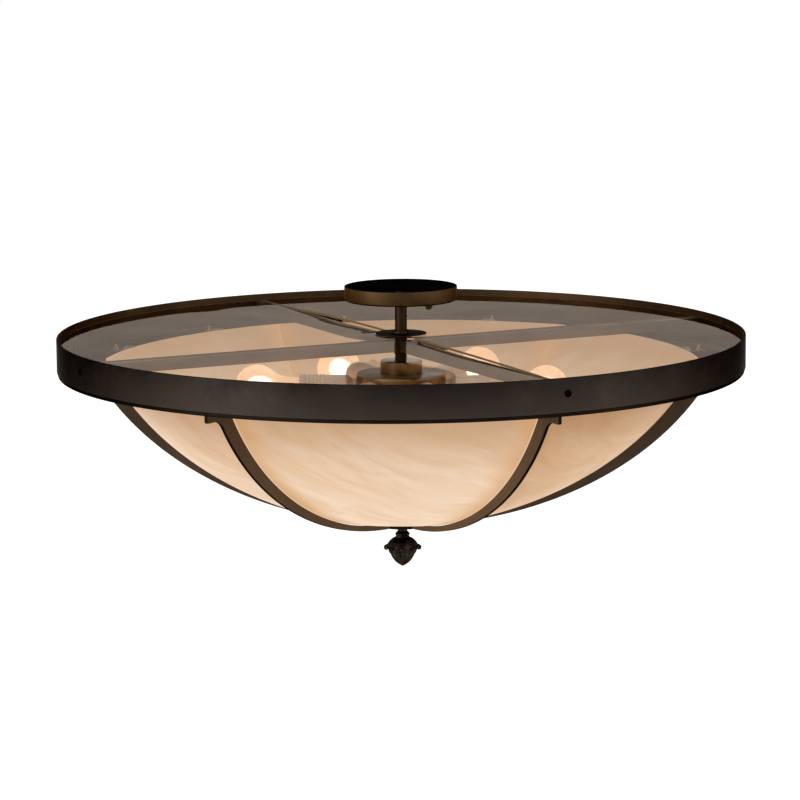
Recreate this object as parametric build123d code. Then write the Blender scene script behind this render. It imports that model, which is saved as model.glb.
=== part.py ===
from build123d import *
import math
import os

# Bowl ceiling light: six translucent panels in a frame of six plate ribs, hung from a wide ring.
# Sizes are in millimetres. Z is up and the ceiling is the plane z = 0.
# X and Y run along the four cross bars that join the ring to the stem.

# Outer ring and its seat plate
ring_diameter = 914.4
ring_wall = 3.0
band_height = 43.5
seat_thickness = 4.8
seat_setback = 1.5

# Heights below the ceiling
ceiling_drop = 62.5
bowl_depth = 261.7

# Ribs, cut from plate to two ellipses
rib_count = 6
rib_thickness = 4.8
rib_curve_inset = 9.2
rib_curve_rise = 75.0
rib_belly_gap = 3.0
tab_inset = 20.0
tab_height = 13.2
tab_fillet = 9.0
tab_nose = 2.5

# Panels, curved gores of one bowl
panel_thickness = 3.2
panel_curve_inset = 30.5
panel_curve_rise = 89.3
panel_bottom_step = 7.0
panel_rim_drop = 38.6
panel_side_gap = 1.2
panel_tip_radius = 24.0
panel_flatness = 90.0
panel_curve_points = 14

# Fits
seat_clearance = 0.4
slip_clearance = 0.3
thread_clearance = 0.1
hole_clearance = 0.3
thread_past_nut = 2.0
head_bevel = 0.5

# Cross bars, square tube welded to the stem
bar_size = 15.9
bar_wall = 1.6
bar_end_plate = 6.0
bar_count = 4

# Machine screws that hold the bars to the ring
bar_screw_radius = 2.4
bar_screw_head_radius = 4.6
bar_screw_head_height = 2.2
bar_screw_length = 12.0

# Clear dust cover in two halves
cover_drop = 8.5
cover_thickness = 3.0
cover_crown = 6.5
cover_edge_gap = 1.2
cover_seam = 1.0

# Check washer that holds the cover down at the stem
washer_radius = 34.0
washer_thickness = 1.2
washer_dish = 0.4
washer_rim_height = 0.7
collar_radius = 10.5
collar_height = 3.0
collar_bevel = 0.8

# Stem and the threaded pipe inside it
stem_radius = 7.95
stem_wall = 1.6
pipe_radius = 4.85
pipe_bore_radius = 3.2
locknut_radius = 8.5
locknut_height = 4.0

# Canopy and the mounting strap above it
canopy_radius = 75.0
canopy_height = 19.3
canopy_wall = 1.2
canopy_edge_radius = 3.0
strap_length = 112.0
strap_width = 22.0
strap_thickness = 2.5
strap_corner = 6.6
strap_angle = -60.0
box_hole_spacing = 69.85
box_hole_radius = 2.4
stud_spacing = 88.9
stud_radius = 2.0
cap_nut_radius = 4.75
cap_nut_height = 10.0
cap_nut_bore_depth = 7.5
stud_engagement = 6.5

# Lamp cluster
cluster_drop = 39.6
cluster_cap_radius = 28.0
cluster_cap_height = 17.0
cluster_radius = 60.0
cluster_height = 40.0
cluster_wall = 1.5
cluster_edge = 1.2
lid_thickness = 2.0

# Lamp sockets, lying flat round the cluster
socket_count = 6
socket_neck_radius = 11.5
socket_neck_inset = 6.0
socket_start = 72.0
socket_radius = 16.5
socket_length = 64.0
socket_collar_height = 0.9
socket_collar_width = 9.0

# Frosted lamps
lamp_base_radius = 13.0
lamp_base_length = 25.0
lamp_base_bevel = 2.0
lamp_contact_radius = 4.8
lamp_contact_length = 3.5
lamp_neck_radius = 13.4
lamp_neck_length = 10.0
lamp_globe_radius = 30.0
lamp_globe_distance = 57.0

# Clips that hold the panels' rims
clip_width = 12.0
clip_strip = 1.5
clip_spread = 15.0
clip_foot = 26.0
clip_hook = 5.0
clip_screw_radius = 2.0
clip_screw_height = 9.0
clip_nut_radius = 3.9
clip_nut_height = 3.0

# Screws that hold the ribs to the seat plate
rib_screw_radius = 1.5
rib_screw_head_radius = 3.0
rib_screw_head_height = 1.7
rib_screw_length = 10.0
rib_screw_inset = 11.0

# Bottom plate, clamp disc and finial
plate_radius = 33.0
plate_thickness = 4.6
plate_rise = 0.5
clamp_radius = 42.0
clamp_thickness = 2.0
finial_stud_radius = 4.8
finial_stud_depth = 26.0
finial_nut_radius = 8.0
finial_nut_height = 5.0
neck_radius = 6.6
neck_height = 9.8
neck_collar_radius = 9.8
neck_collar_height = 6.6
neck_collar_bevel = 2.0
acorn_radius = 18.0
acorn_top_radius = 7.5
acorn_cup_height = 14.5
acorn_nut_height = 25.0
acorn_fullness = 0.45
acorn_bluntness = 0.6
acorn_shoulder_rise = 3.5
acorn_tip_radius = 0.8
finial_bore_clearance = 1.0
leaf_count = 6
leaf_width = 12.5
leaf_thickness = 1.7
leaf_reach = 22.0
leaf_roll_radius = 3.4
leaf_roll_width = 8.0
leaf_roll_rise = 2.0
leaf_roll_bevel = 1.5
leaf_root = 0.5
leaf_start = 1.0
stalk_depth = 2.0
stalk_width = 4.0
stalk_low = 1.4
stalk_high = 4.8
flute_count = 12
flute_radius = 2.6
flute_depth = 1.2
flute_from = 0.12
flute_to = 0.72

# Levels and radii that follow from the sizes above
ring_radius = ring_diameter / 2
ring_inner_radius = ring_radius - ring_wall
ring_top = -ceiling_drop
band_bottom = ring_top - band_height
seat_bottom = band_bottom - seat_thickness
bowl_bottom = ring_top - bowl_depth

rib_centre = ring_top + rib_curve_rise
rib_a = ring_radius - rib_curve_inset
rib_b = rib_centre - bowl_bottom
panel_centre = ring_top + panel_curve_rise
panel_a = ring_radius - panel_curve_inset
panel_b = panel_centre - bowl_bottom - panel_bottom_step
panel_rim = ring_top - panel_rim_drop
tab_end = ring_radius - tab_inset
tab_bottom = seat_bottom - tab_height

cover_rim_top = ring_top - cover_drop
cover_radius = ring_inner_radius - cover_edge_gap
bar_top = cover_rim_top - cover_thickness - slip_clearance
bar_bottom = bar_top - bar_size
bar_middle = bar_top - bar_size / 2
stem_bottom = ring_top - cluster_drop

cluster_top = stem_bottom - cluster_cap_height
cluster_bottom = cluster_top - cluster_height
socket_level = cluster_top - cluster_height / 2
socket_mouth = socket_start + socket_length
strap_bottom = -strap_thickness


def ellipse_radius(a, b, centre, z):
    """Distance from the axis at which the ellipse passes height z."""
    return a * math.sqrt(1 - ((z - centre) / b) ** 2)


def box_between(low, high):
    """Box from its lowest corner to its highest."""
    size = [high[i] - low[i] for i in range(3)]
    middle = [(high[i] + low[i]) / 2 for i in range(3)]
    return Pos(*middle) * Box(*size)


def rod(radius, low, high):
    """Upright round bar on the Z axis."""
    return Pos(0, 0, (low + high) / 2) * Cylinder(radius, high - low)


def tube(outer, inner, low, high):
    """Upright round tube on the Z axis."""
    return rod(outer, low, high) - rod(inner, low, high)


def hex_nut(across_corners_radius, hole_radius, low, high):
    """Hexagon nut on the Z axis."""
    blank = Pos(0, 0, low) * extrude(RegularPolygon(across_corners_radius, 6), high - low)
    return blank - rod(hole_radius, low, high)


def turned(points, axis=Axis.Z, plane=Plane.XZ):
    """Solid turned from a closed outline of straight lines in the given plane."""
    outline = make_face(Polyline(*points, close=True))
    return revolve(plane * outline, axis=axis)


def around(shape, count, start=-90.0):
    """Copies of a shape, evenly spaced round the Z axis."""
    return [Rot(0, 0, start + 360 / count * i) * shape for i in range(count)]


def save(name, *shapes):
    """Write one piece, or a set of equal fasteners, to its own file."""
    shape = shapes[0] if len(shapes) == 1 else Compound(children=list(shapes))
    export_step(shape, os.path.join("parts", name + ".step"))


def save_each(name, shapes):
    """Write each shape of a ring of pieces to its own numbered file."""
    for i, shape in enumerate(shapes):
        save(name + "_" + str(i + 1), shape)


# Frame

def make_ring_band():
    """Rolled flat bar with a clearance hole at the end of each cross bar."""
    band = tube(ring_radius, ring_inner_radius, band_bottom, ring_top)
    hole = Pos(ring_radius, 0, bar_middle) * Rot(0, 90, 0)
    hole = hole * Cylinder(bar_screw_radius + hole_clearance, 4 * ring_wall)
    for cut in around(hole, bar_count):
        band -= cut
    return band


def make_seat_plate():
    """Flat ring under the band. The panels stand in its hole and the ribs hang from it."""
    hole = ellipse_radius(panel_a, panel_b, panel_centre, band_bottom) + seat_clearance
    plate = tube(ring_radius - seat_setback, hole, seat_bottom, band_bottom)
    screw = Pos(tab_end - rib_screw_inset, 0, 0)
    screw = screw * rod(rib_screw_radius + hole_clearance, seat_bottom, band_bottom)
    for cut in around(screw, rib_count):
        plate -= cut
    clip = Pos(clip_screw_place(), 0, 0)
    clip = clip * rod(clip_screw_radius + hole_clearance, seat_bottom, band_bottom)
    for cut in clip_copies(clip):
        plate -= cut
    return plate


def make_rib():
    """Tapered plate rib along +X, with a tab that bolts up under the seat plate."""
    outer = Pos(0, rib_centre) * Ellipse(rib_a, rib_b)
    inner = Pos(0, panel_centre) * Ellipse(panel_a + seat_clearance, panel_b + rib_belly_gap)
    start = plate_radius + slip_clearance
    window = Pos(start, seat_bottom) * Rectangle(ring_radius, bowl_depth, align=(Align.MIN, Align.MAX))
    root = ellipse_radius(rib_a, rib_b, rib_centre, tab_bottom)
    tab_start = root - tab_height
    tab = Pos(tab_start, tab_bottom)
    tab = tab * Rectangle(tab_end - tab_start, tab_height, align=(Align.MIN, Align.MIN))
    outline = (outer & window) + tab - inner
    crook = outline.vertices().sort_by_distance(Vector(root, tab_bottom))[0]
    outline = fillet(crook, tab_fillet)
    nose = outline.vertices().sort_by_distance(Vector(tab_end, tab_bottom))[0]
    outline = fillet(nose, tab_nose)
    rib = extrude(Plane.XZ * outline, rib_thickness / 2, both=True)
    top = seat_bottom - rib_screw_length - thread_clearance
    hole = Pos(tab_end - rib_screw_inset, 0, 0)
    return rib - hole * rod(rib_screw_radius + thread_clearance, top, seat_bottom)


def make_rib_screw():
    """Button head screw down through the seat plate into the rib's tab."""
    head = rod(rib_screw_head_radius, band_bottom, band_bottom + rib_screw_head_height)
    head = chamfer(head.edges().sort_by(Axis.Z)[-1], rib_screw_head_height * head_bevel)
    shank = rod(rib_screw_radius, seat_bottom - rib_screw_length, band_bottom)
    return Pos(tab_end - rib_screw_inset, 0, 0) * (head + shank)


def make_cross_bar():
    """Square tube along +X from the stem to the ring, with a tapped plate in its outer end."""
    reach = ring_inner_radius - slip_clearance
    half = bar_size / 2
    bore = half - bar_wall
    start = max(stem_radius, half) + thread_clearance
    bar = box_between((start, -half, bar_bottom), (reach, half, bar_top))
    bar -= box_between((start, -bore, bar_middle - bore), (reach - bar_end_plate, bore, bar_middle + bore))
    tapped = Cylinder(bar_screw_radius + thread_clearance, 3 * bar_end_plate)
    return bar - Pos(reach, 0, bar_middle) * Rot(0, 90, 0) * tapped


def make_bar_screw():
    """Pan head screw through the ring into the end of a cross bar."""
    head = rod(bar_screw_head_radius, 0, bar_screw_head_height)
    head = chamfer(head.edges().sort_by(Axis.Z)[-1], bar_screw_head_height * head_bevel)
    shank = rod(bar_screw_radius, -bar_screw_length, 0)
    return Pos(ring_radius, 0, bar_middle) * Rot(0, 90, 0) * (head + shank)


# Bowl panels and what holds them

def section_radius(edge):
    """Radius of a panel's section about its own axis, which lies beyond the bowl's axis.

    The section passes the ribs at the given distance from the bowl's axis and is flatter between.
    """
    half_angle = math.radians(180 / rib_count)
    return math.hypot(edge * math.cos(half_angle) + panel_flatness, edge * math.sin(half_angle))


def panel_radius(edge, degrees):
    """Distance from the bowl's axis of a panel, at an angle from its middle."""
    angle = math.radians(degrees)
    across = panel_flatness * math.sin(angle)
    return math.sqrt(section_radius(edge) ** 2 - across**2) - panel_flatness * math.cos(angle)


def edge_radius(middle):
    """Distance from the bowl's axis of a panel's side, at the level where its middle has this one."""
    half_angle = math.radians(180 / rib_count)
    across = panel_flatness * math.sin(half_angle)
    side = math.sqrt((middle + panel_flatness) ** 2 - across**2)
    return side - panel_flatness * math.cos(half_angle)


def panel_curve(a, b):
    """Curve of a panel's section from above its rim to inside its tip, about its own axis."""
    top = math.asin((panel_centre - panel_rim - panel_thickness) / b)
    low = math.acos(panel_tip_radius / 2 / a)
    angles = [top + (low - top) * i / (panel_curve_points - 1) for i in range(panel_curve_points)]
    places = [(section_radius(a * math.cos(t)), panel_centre - b * math.sin(t)) for t in angles]
    return Spline(*places)


def make_panel():
    """One sixth of the bowl, centred on +X, with straight gaps to its neighbours."""
    outer = panel_curve(panel_a, panel_b)
    inner = panel_curve(panel_a - panel_thickness, panel_b - panel_thickness)
    rim = Line(outer @ 0, inner @ 0)
    tip = Line(outer @ 1, inner @ 1)
    window = Pos(0, panel_rim)
    window = window * Rectangle(2 * ring_diameter, bowl_depth, align=(Align.MIN, Align.MAX))
    section = make_face(outer + tip + inner + rim) & window
    bowl = Pos(-panel_flatness, 0, 0) * revolve(Plane.XZ * section, axis=Axis.Z)
    bowl -= rod(panel_tip_radius, bowl_bottom, panel_rim)
    half_angle = math.radians(180 / rib_count)
    apex = panel_side_gap / 2 / math.sin(half_angle)
    reach = apex + ring_radius
    spread = ring_radius * math.tan(half_angle)
    wedge = make_face(Polyline((apex, 0), (reach, -spread), (reach, spread), close=True))
    return bowl & extrude(Pos(0, 0, bowl_bottom) * wedge, bowl_depth)


def clip_screw_place():
    """Distance from the axis of the screws that hold the panel clips."""
    rim = ellipse_radius(panel_a, panel_b, panel_centre, band_bottom)
    return rim + clip_foot - 2 * clip_nut_radius


def clip_copies(shape):
    """Two copies for each panel, either side of its middle."""
    step = 360 / rib_count
    middles = [-90 + step / 2 + step * i for i in range(rib_count)]
    return [Rot(0, 0, middle + side * clip_spread) * shape for middle in middles for side in (-1, 1)]


def make_clip():
    """Bent strip: a foot on the seat plate, an upright and a hook over the panel's rim."""
    foot_start = ellipse_radius(panel_a, panel_b, panel_centre, panel_rim) + slip_clearance
    foot_end = ellipse_radius(panel_a, panel_b, panel_centre, band_bottom) + clip_foot
    hook_low = panel_rim + slip_clearance
    rim = ellipse_radius(panel_a, panel_b, panel_centre, panel_rim)
    hook_end = panel_radius(rim, clip_spread) - clip_hook
    outline = Polyline(
        (foot_start, band_bottom),
        (foot_end, band_bottom),
        (foot_end, band_bottom + clip_strip),
        (foot_start + clip_strip, band_bottom + clip_strip),
        (foot_start + clip_strip, hook_low + clip_strip),
        (hook_end, hook_low + clip_strip),
        (hook_end, hook_low),
        (foot_start, hook_low),
        close=True,
    )
    clip = extrude(Plane.XZ * make_face(outline), clip_width / 2, both=True)
    hole = rod(clip_screw_radius + hole_clearance, band_bottom, band_bottom + clip_strip)
    return clip - Pos(clip_screw_place(), 0, 0) * hole


def make_clip_screw():
    """Upright screw through the seat plate with a nut on the clip's foot."""
    foot_top = band_bottom + clip_strip
    shank = rod(clip_screw_radius, seat_bottom, band_bottom + clip_screw_height)
    nut = Pos(0, 0, foot_top) * extrude(RegularPolygon(clip_nut_radius, 6), clip_nut_height)
    return Pos(clip_screw_place(), 0, 0) * (shank + nut)


# Dust cover

def make_cover_half(side):
    """Half of the crowned clear sheet. side is -1 for the half at -X and 1 for the half at +X."""
    hole = stem_radius + slip_clearance
    low = cover_rim_top - cover_thickness
    sheet = turned([
        (hole, low + cover_crown),
        (hole, cover_rim_top + cover_crown),
        (cover_radius, cover_rim_top),
        (cover_radius, low),
    ])
    middle = side * (ring_radius + cover_seam) / 2
    half = Pos(middle, 0, ring_top) * Box(ring_radius, ring_diameter, 2 * ceiling_drop)
    return sheet & half


def make_washer():
    """Dished washer with a collar that slides on the stem and holds the cover down."""
    bore = stem_radius + thread_clearance
    under = cover_rim_top + cover_crown + slip_clearance
    top = under + washer_thickness
    return turned([
        (bore, under),
        (washer_radius - washer_thickness, under),
        (washer_radius, under + washer_dish),
        (washer_radius, under + washer_dish + washer_rim_height),
        (washer_radius - washer_thickness, top),
        (collar_radius, top),
        (collar_radius, top + collar_height - collar_bevel),
        (collar_radius - collar_bevel, top + collar_height),
        (bore, top + collar_height),
    ])


# Stem, canopy and mounting strap

def make_stem():
    """Tube from the locknut down to the lamp cluster. The cross bars are welded to it."""
    top = strap_bottom - locknut_height - slip_clearance
    return tube(stem_radius, stem_radius - stem_wall, stem_bottom, top)


def make_pipe():
    """Threaded pipe from the strap through the stem to the nut under the cluster."""
    bottom = cluster_bottom - lid_thickness - locknut_height - thread_past_nut
    return tube(pipe_radius, pipe_bore_radius, bottom, 0)


def make_pipe_nuts():
    """Two equal nuts: one under the strap, one under the cluster."""
    tops = [strap_bottom, cluster_bottom - lid_thickness]
    hole = pipe_radius + thread_clearance
    return [hex_nut(locknut_radius, hole, top - locknut_height, top) for top in tops]


def make_strap():
    """Flat mounting strap: tapped for the pipe and studs, drilled for the ceiling box screws."""
    blank = Pos(0, 0, strap_bottom / 2) * Box(strap_length, strap_width, strap_thickness)
    blank = fillet(blank.edges().filter_by(Axis.Z), strap_corner)
    strap = blank - rod(pipe_radius + thread_clearance, strap_bottom, 0)
    for side in (-1, 1):
        strap -= Pos(side * box_hole_spacing / 2, 0, 0) * rod(box_hole_radius, strap_bottom, 0)
        strap -= Pos(side * stud_spacing / 2, 0, 0) * rod(stud_radius + thread_clearance, strap_bottom, 0)
    return Rot(0, 0, strap_angle) * strap


def make_stud():
    """Stud that comes down from the strap through the canopy."""
    return Pos(stud_spacing / 2, 0, 0) * rod(stud_radius, -canopy_height - stud_engagement, 0)


def make_canopy():
    """Shallow spun pan, open to the ceiling."""
    outer = rod(canopy_radius, -canopy_height, 0)
    outer = fillet(outer.edges().sort_by(Axis.Z)[0], canopy_edge_radius)
    inner = rod(canopy_radius - canopy_wall, canopy_wall - canopy_height, 0)
    inner = chamfer(inner.edges().sort_by(Axis.Z)[0], canopy_edge_radius - canopy_wall)
    pan = outer - inner - rod(stem_radius + hole_clearance, -canopy_height, 0)
    hole = Pos(stud_spacing / 2, 0, 0) * rod(stud_radius + hole_clearance, -canopy_height, 0)
    for cut in around(hole, 2, strap_angle):
        pan -= cut
    return pan


def make_cap_nut():
    """Domed nut under the canopy, with a blind bore for the stud."""
    top = -canopy_height - thread_clearance
    straight = cap_nut_height - cap_nut_radius
    body = rod(cap_nut_radius, top - straight, top)
    body += Pos(0, 0, top - straight) * Sphere(cap_nut_radius)
    body -= rod(stud_radius + thread_clearance, top - cap_nut_bore_depth, top)
    return Pos(stud_spacing / 2, 0, 0) * body


# Lamp cluster

def make_cluster_cap():
    """Small cup on top of the cluster, under the stem."""
    cup = rod(cluster_cap_radius, cluster_top, stem_bottom)
    cup = chamfer(cup.edges().sort_by(Axis.Z)[-1], cluster_edge)
    cup -= rod(cluster_cap_radius - cluster_wall, cluster_top, stem_bottom - cluster_wall)
    return cup - rod(pipe_radius + hole_clearance, cluster_top, stem_bottom)


def make_cluster_body():
    """Round box with a hole in its side for each socket."""
    can = rod(cluster_radius, cluster_bottom, cluster_top)
    can = chamfer(can.edges().sort_by(Axis.Z)[-1], cluster_edge)
    can -= rod(cluster_radius - cluster_wall, cluster_bottom, cluster_top - cluster_wall)
    can -= rod(pipe_radius + hole_clearance, cluster_bottom, cluster_top)
    hole = Pos(cluster_radius, 0, socket_level) * Rot(0, 90, 0)
    hole = hole * Cylinder(socket_neck_radius + hole_clearance, 4 * socket_neck_inset)
    for cut in around(hole, socket_count):
        can -= cut
    return can


def make_cluster_lid():
    """Disc that closes the cluster from below."""
    return tube(cluster_radius, pipe_radius + hole_clearance, cluster_bottom - lid_thickness, cluster_bottom)


def make_socket():
    """Moulded lamp socket along +X, with a collar at its mouth and a bore for the lamp."""
    bore = lamp_base_radius + slip_clearance
    floor = socket_mouth - lamp_base_length - lamp_contact_length - slip_clearance
    return Pos(0, 0, socket_level) * turned([
        (cluster_radius - socket_neck_inset, 0),
        (cluster_radius - socket_neck_inset, socket_neck_radius),
        (socket_start, socket_neck_radius),
        (socket_start, socket_radius),
        (socket_mouth - socket_collar_width, socket_radius),
        (socket_mouth - socket_collar_width, socket_radius + socket_collar_height),
        (socket_mouth, socket_radius + socket_collar_height),
        (socket_mouth, bore),
        (floor, bore),
        (floor, 0),
    ], Axis.X, Plane.XZ)


def make_lamp_base():
    """Metal base of a lamp, seated in the socket's bore."""
    start = socket_mouth - lamp_base_length
    return Pos(0, 0, socket_level) * turned([
        (start - lamp_contact_length, 0),
        (start - lamp_contact_length, lamp_contact_radius),
        (start, lamp_base_radius - lamp_base_bevel),
        (start + lamp_base_bevel, lamp_base_radius),
        (socket_mouth, lamp_base_radius),
        (socket_mouth, 0),
    ], Axis.X, Plane.XZ)


def make_lamp_globe():
    """Frosted envelope: a short neck, a hollow arc and a round globe, all tangent."""
    gap = lamp_globe_distance - lamp_neck_length
    arc = (gap ** 2 + lamp_neck_radius ** 2 - lamp_globe_radius ** 2)
    arc = arc / (2 * (lamp_globe_radius - lamp_neck_radius))
    span = arc + lamp_globe_radius
    turn = Vector(-gap / span, (lamp_neck_radius + arc) / span)
    neck_end = Vector(lamp_neck_length, lamp_neck_radius)
    join = Vector(lamp_globe_distance, 0) + turn * lamp_globe_radius
    tip = Vector(lamp_globe_distance + lamp_globe_radius, 0)
    start = Vector(0, 0)
    rim = Vector(0, lamp_neck_radius)
    neck = Line(rim, neck_end)
    hollow = TangentArc(neck_end, join, tangent=(1, 0))
    round_part = TangentArc(join, tip, tangent=hollow % 1)
    outline = make_face([Line(start, rim), neck, hollow, round_part, Line(tip, start)])
    globe = revolve(Plane.XZ * outline, axis=Axis.X)
    return Pos(socket_mouth, 0, socket_level) * globe


# Bottom plate and finial

def make_bottom_plate():
    """Disc that the six ribs are welded to."""
    low = bowl_bottom + plate_rise
    return tube(plate_radius, finial_stud_radius + thread_clearance, low, low + plate_thickness)


def clamp_level():
    """Underside of the clamp disc, resting on the panels' inner faces at its rim."""
    inner_a = panel_a - panel_thickness
    inner_b = panel_b - panel_thickness
    drop = inner_b * math.sqrt(1 - (edge_radius(clamp_radius) / inner_a) ** 2)
    return panel_centre - drop + slip_clearance


def make_clamp_disc():
    """Disc inside the bowl that presses the panels' tips down."""
    low = clamp_level()
    return tube(clamp_radius, finial_stud_radius + thread_clearance, low, low + clamp_thickness)


def make_finial_stud():
    """Threaded stud from the nut inside the bowl down into the finial."""
    top = clamp_level() + clamp_thickness + finial_nut_height + thread_past_nut
    return rod(finial_stud_radius, bowl_bottom - finial_stud_depth, top)


def make_finial_nut():
    """Nut on the clamp disc."""
    low = clamp_level() + clamp_thickness
    return hex_nut(finial_nut_radius, finial_stud_radius + thread_clearance, low, low + finial_nut_height)


neck_top = bowl_bottom + plate_rise - slip_clearance
neck_bottom = neck_top - neck_height - neck_collar_height
acorn_level = neck_bottom - acorn_cup_height


def make_finial_neck():
    """Turned neck with a bevelled collar between the bottom plate and the acorn."""
    outer = rod(neck_radius, neck_bottom, neck_top)
    collar = rod(neck_collar_radius, neck_bottom, neck_bottom + neck_collar_height)
    collar = chamfer(collar.edges(), neck_collar_bevel)
    return outer + collar - rod(finial_stud_radius + thread_clearance, neck_bottom, neck_top)


def acorn_cup(extra):
    """Upper half of the acorn, grown outwards by extra."""
    low = Vector(acorn_radius + extra, acorn_level)
    high = Vector(acorn_top_radius + extra, neck_bottom)
    side = TangentArc(low, high, tangent=(0, 1))
    base = Vector(0, acorn_level)
    crown = Vector(0, neck_bottom)
    outline = make_face([Line(base, low), side, Line(high, crown), Line(crown, base)])
    return revolve(Plane.XZ * outline, axis=Axis.Z)


def make_leaf():
    """Leaf along +X: a petal of the cup's skin whose tip is rolled outwards."""
    skin = acorn_cup(leaf_thickness) - acorn_cup(-leaf_root)
    outline = Ellipse(leaf_reach / 2, leaf_width / 2)
    petal = Pos(leaf_reach / 2 + leaf_start, 0, acorn_level) * extrude(outline, acorn_cup_height)
    roll = Cylinder(leaf_roll_radius, leaf_roll_width)
    rims = roll.edges().group_by(Axis.Z)
    roll = chamfer(rims[0] + rims[-1], leaf_roll_bevel)
    roll = Pos(leaf_reach, 0, acorn_level + leaf_roll_rise) * Rot(90, 0, 0) * roll
    low = (acorn_radius - stalk_depth, -stalk_width / 2, acorn_level + stalk_low)
    high = (leaf_reach, stalk_width / 2, acorn_level + stalk_high)
    return (skin & petal) + box_between(low, high) + roll


def make_acorn_nut():
    """Lower half of the acorn, with straight flutes cut between two points along its side."""
    high = Vector(acorn_radius, acorn_level)
    low = Vector(acorn_tip_radius, acorn_level - acorn_nut_height)
    tip = Vector(0, acorn_level - acorn_nut_height)
    centre = Vector(0, acorn_level)
    belly = high - Vector(0, acorn_nut_height * acorn_fullness)
    shoulder = low + Vector(acorn_radius * acorn_bluntness, acorn_shoulder_rise)
    side = Bezier(high, belly, shoulder, low)
    outline = make_face([Line(centre, high), side, Line(low, tip), Line(tip, centre)])
    nut = revolve(Plane.XZ * outline, axis=Axis.Z)
    start = side @ flute_from
    end = side @ flute_to
    chord = end - start
    outward = Vector(-chord.Y, chord.X).normalized()
    crest = side @ ((flute_from + flute_to) / 2)
    middle = crest + outward * (flute_radius - flute_depth)
    lean = math.degrees(math.atan2(chord.X, chord.Y))
    flute = Pos(middle.X, 0, middle.Y) * Rot(0, lean, 0) * Cylinder(flute_radius, 2 * acorn_nut_height)
    for cut in around(flute, flute_count, 180 / flute_count):
        nut -= cut
    return nut


def make_finial():
    """Acorn with a cup of leaves above and flutes that run down towards its point."""
    finial = make_acorn_nut() + acorn_cup(0)
    for leaf in around(make_leaf(), leaf_count):
        finial += leaf
    bore_bottom = bowl_bottom - finial_stud_depth - finial_bore_clearance
    bore = rod(finial_stud_radius + thread_clearance, bore_bottom, neck_bottom)
    return finial - bore


# Writing the pieces

os.makedirs("parts", exist_ok=True)

save("ring_band", make_ring_band())
save("seat_plate", make_seat_plate())
save_each("rib", around(make_rib(), rib_count))
save("rib_screws", *around(make_rib_screw(), rib_count))
save_each("cross_bar", around(make_cross_bar(), bar_count))
save("bar_screws", *around(make_bar_screw(), bar_count))

save_each("panel", around(make_panel(), rib_count, 180 / rib_count - 90))
save("panel_clips", *clip_copies(make_clip()))
save("clip_screws", *clip_copies(make_clip_screw()))

save("cover_left", make_cover_half(-1))
save("cover_right", make_cover_half(1))
save("cover_washer", make_washer())

save("stem", make_stem())
save("threaded_pipe", make_pipe())
save("pipe_nuts", *make_pipe_nuts())
save("mounting_strap", make_strap())
save("canopy_studs", *around(make_stud(), 2, strap_angle))
save("canopy", make_canopy())
save_each("canopy_nut", around(make_cap_nut(), 2, strap_angle))

save("cluster_cap", make_cluster_cap())
save("cluster_body", make_cluster_body())
save("cluster_lid", make_cluster_lid())
save_each("socket", around(make_socket(), socket_count))
save_each("lamp_base", around(make_lamp_base(), socket_count))
save_each("lamp_globe", around(make_lamp_globe(), socket_count))

save("bottom_plate", make_bottom_plate())
save("clamp_disc", make_clamp_disc())
save("finial_stud", make_finial_stud())
save("finial_nut", make_finial_nut())
save("finial_neck", make_finial_neck())
save("finial", make_finial())
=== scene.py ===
import math

import bmesh
import bpy
from mathutils import Matrix, Vector


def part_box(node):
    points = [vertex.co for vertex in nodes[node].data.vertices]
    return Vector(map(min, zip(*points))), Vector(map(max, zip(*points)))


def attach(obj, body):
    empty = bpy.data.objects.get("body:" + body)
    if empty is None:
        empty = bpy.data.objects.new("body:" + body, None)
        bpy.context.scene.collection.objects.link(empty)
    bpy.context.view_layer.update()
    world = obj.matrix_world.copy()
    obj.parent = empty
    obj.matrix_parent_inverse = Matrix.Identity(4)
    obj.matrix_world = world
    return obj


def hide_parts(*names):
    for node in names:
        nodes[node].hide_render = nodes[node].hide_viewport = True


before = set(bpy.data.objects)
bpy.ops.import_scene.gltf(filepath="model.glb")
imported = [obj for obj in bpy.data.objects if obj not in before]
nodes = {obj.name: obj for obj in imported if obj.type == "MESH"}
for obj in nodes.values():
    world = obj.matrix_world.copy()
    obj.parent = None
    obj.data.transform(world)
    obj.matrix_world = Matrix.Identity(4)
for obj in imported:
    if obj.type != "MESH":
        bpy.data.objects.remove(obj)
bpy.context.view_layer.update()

# Bowl ceiling light. Lengths are written in millimetres and multiplied by mm where they are used.
mm = 0.001


# Sizes read from the frame

def lowest(node):
    """Lowest corner of a CAD node."""
    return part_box(node)[0]


def highest(node):
    """Highest corner of a CAD node."""
    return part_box(node)[1]


def nearest_to_axis(node):
    """Smallest distance of a CAD node's points from the Z axis."""
    return min(math.hypot(v.co.x, v.co.y) for v in nodes[node].data.vertices)


ring_radius = highest("ring_band").x
ring_top = highest("ring_band").z
band_bottom = lowest("ring_band").z
ring_inner = nearest_to_axis("ring_band")
seat_radius = highest("seat_plate").x
seat_bottom = lowest("seat_plate").z
seat_inner = nearest_to_axis("seat_plate")
rib_thickness = highest("rib_1").x - lowest("rib_1").x
rib_start = nearest_to_axis("rib_1")
tab_end = -lowest("rib_1").y
panel_rim = highest("panel_1").z
panel_tip = nearest_to_axis("panel_1")
bar_top = highest("cross_bar_1").z
bar_bottom = lowest("cross_bar_1").z
bar_middle = (bar_top + bar_bottom) / 2
bar_width = bar_top - bar_bottom
cover_top = highest("cover_left").z
cover_rim_bottom = lowest("cover_left").z
cover_radius = -lowest("cover_left").x
stem_radius = highest("stem").x
socket_level = (highest("socket_1").z + lowest("socket_1").z) / 2
socket_mouth = -lowest("socket_1").y
lamp_end = -lowest("lamp_globe_1").y
lamp_radius = highest("lamp_globe_1").x
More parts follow.
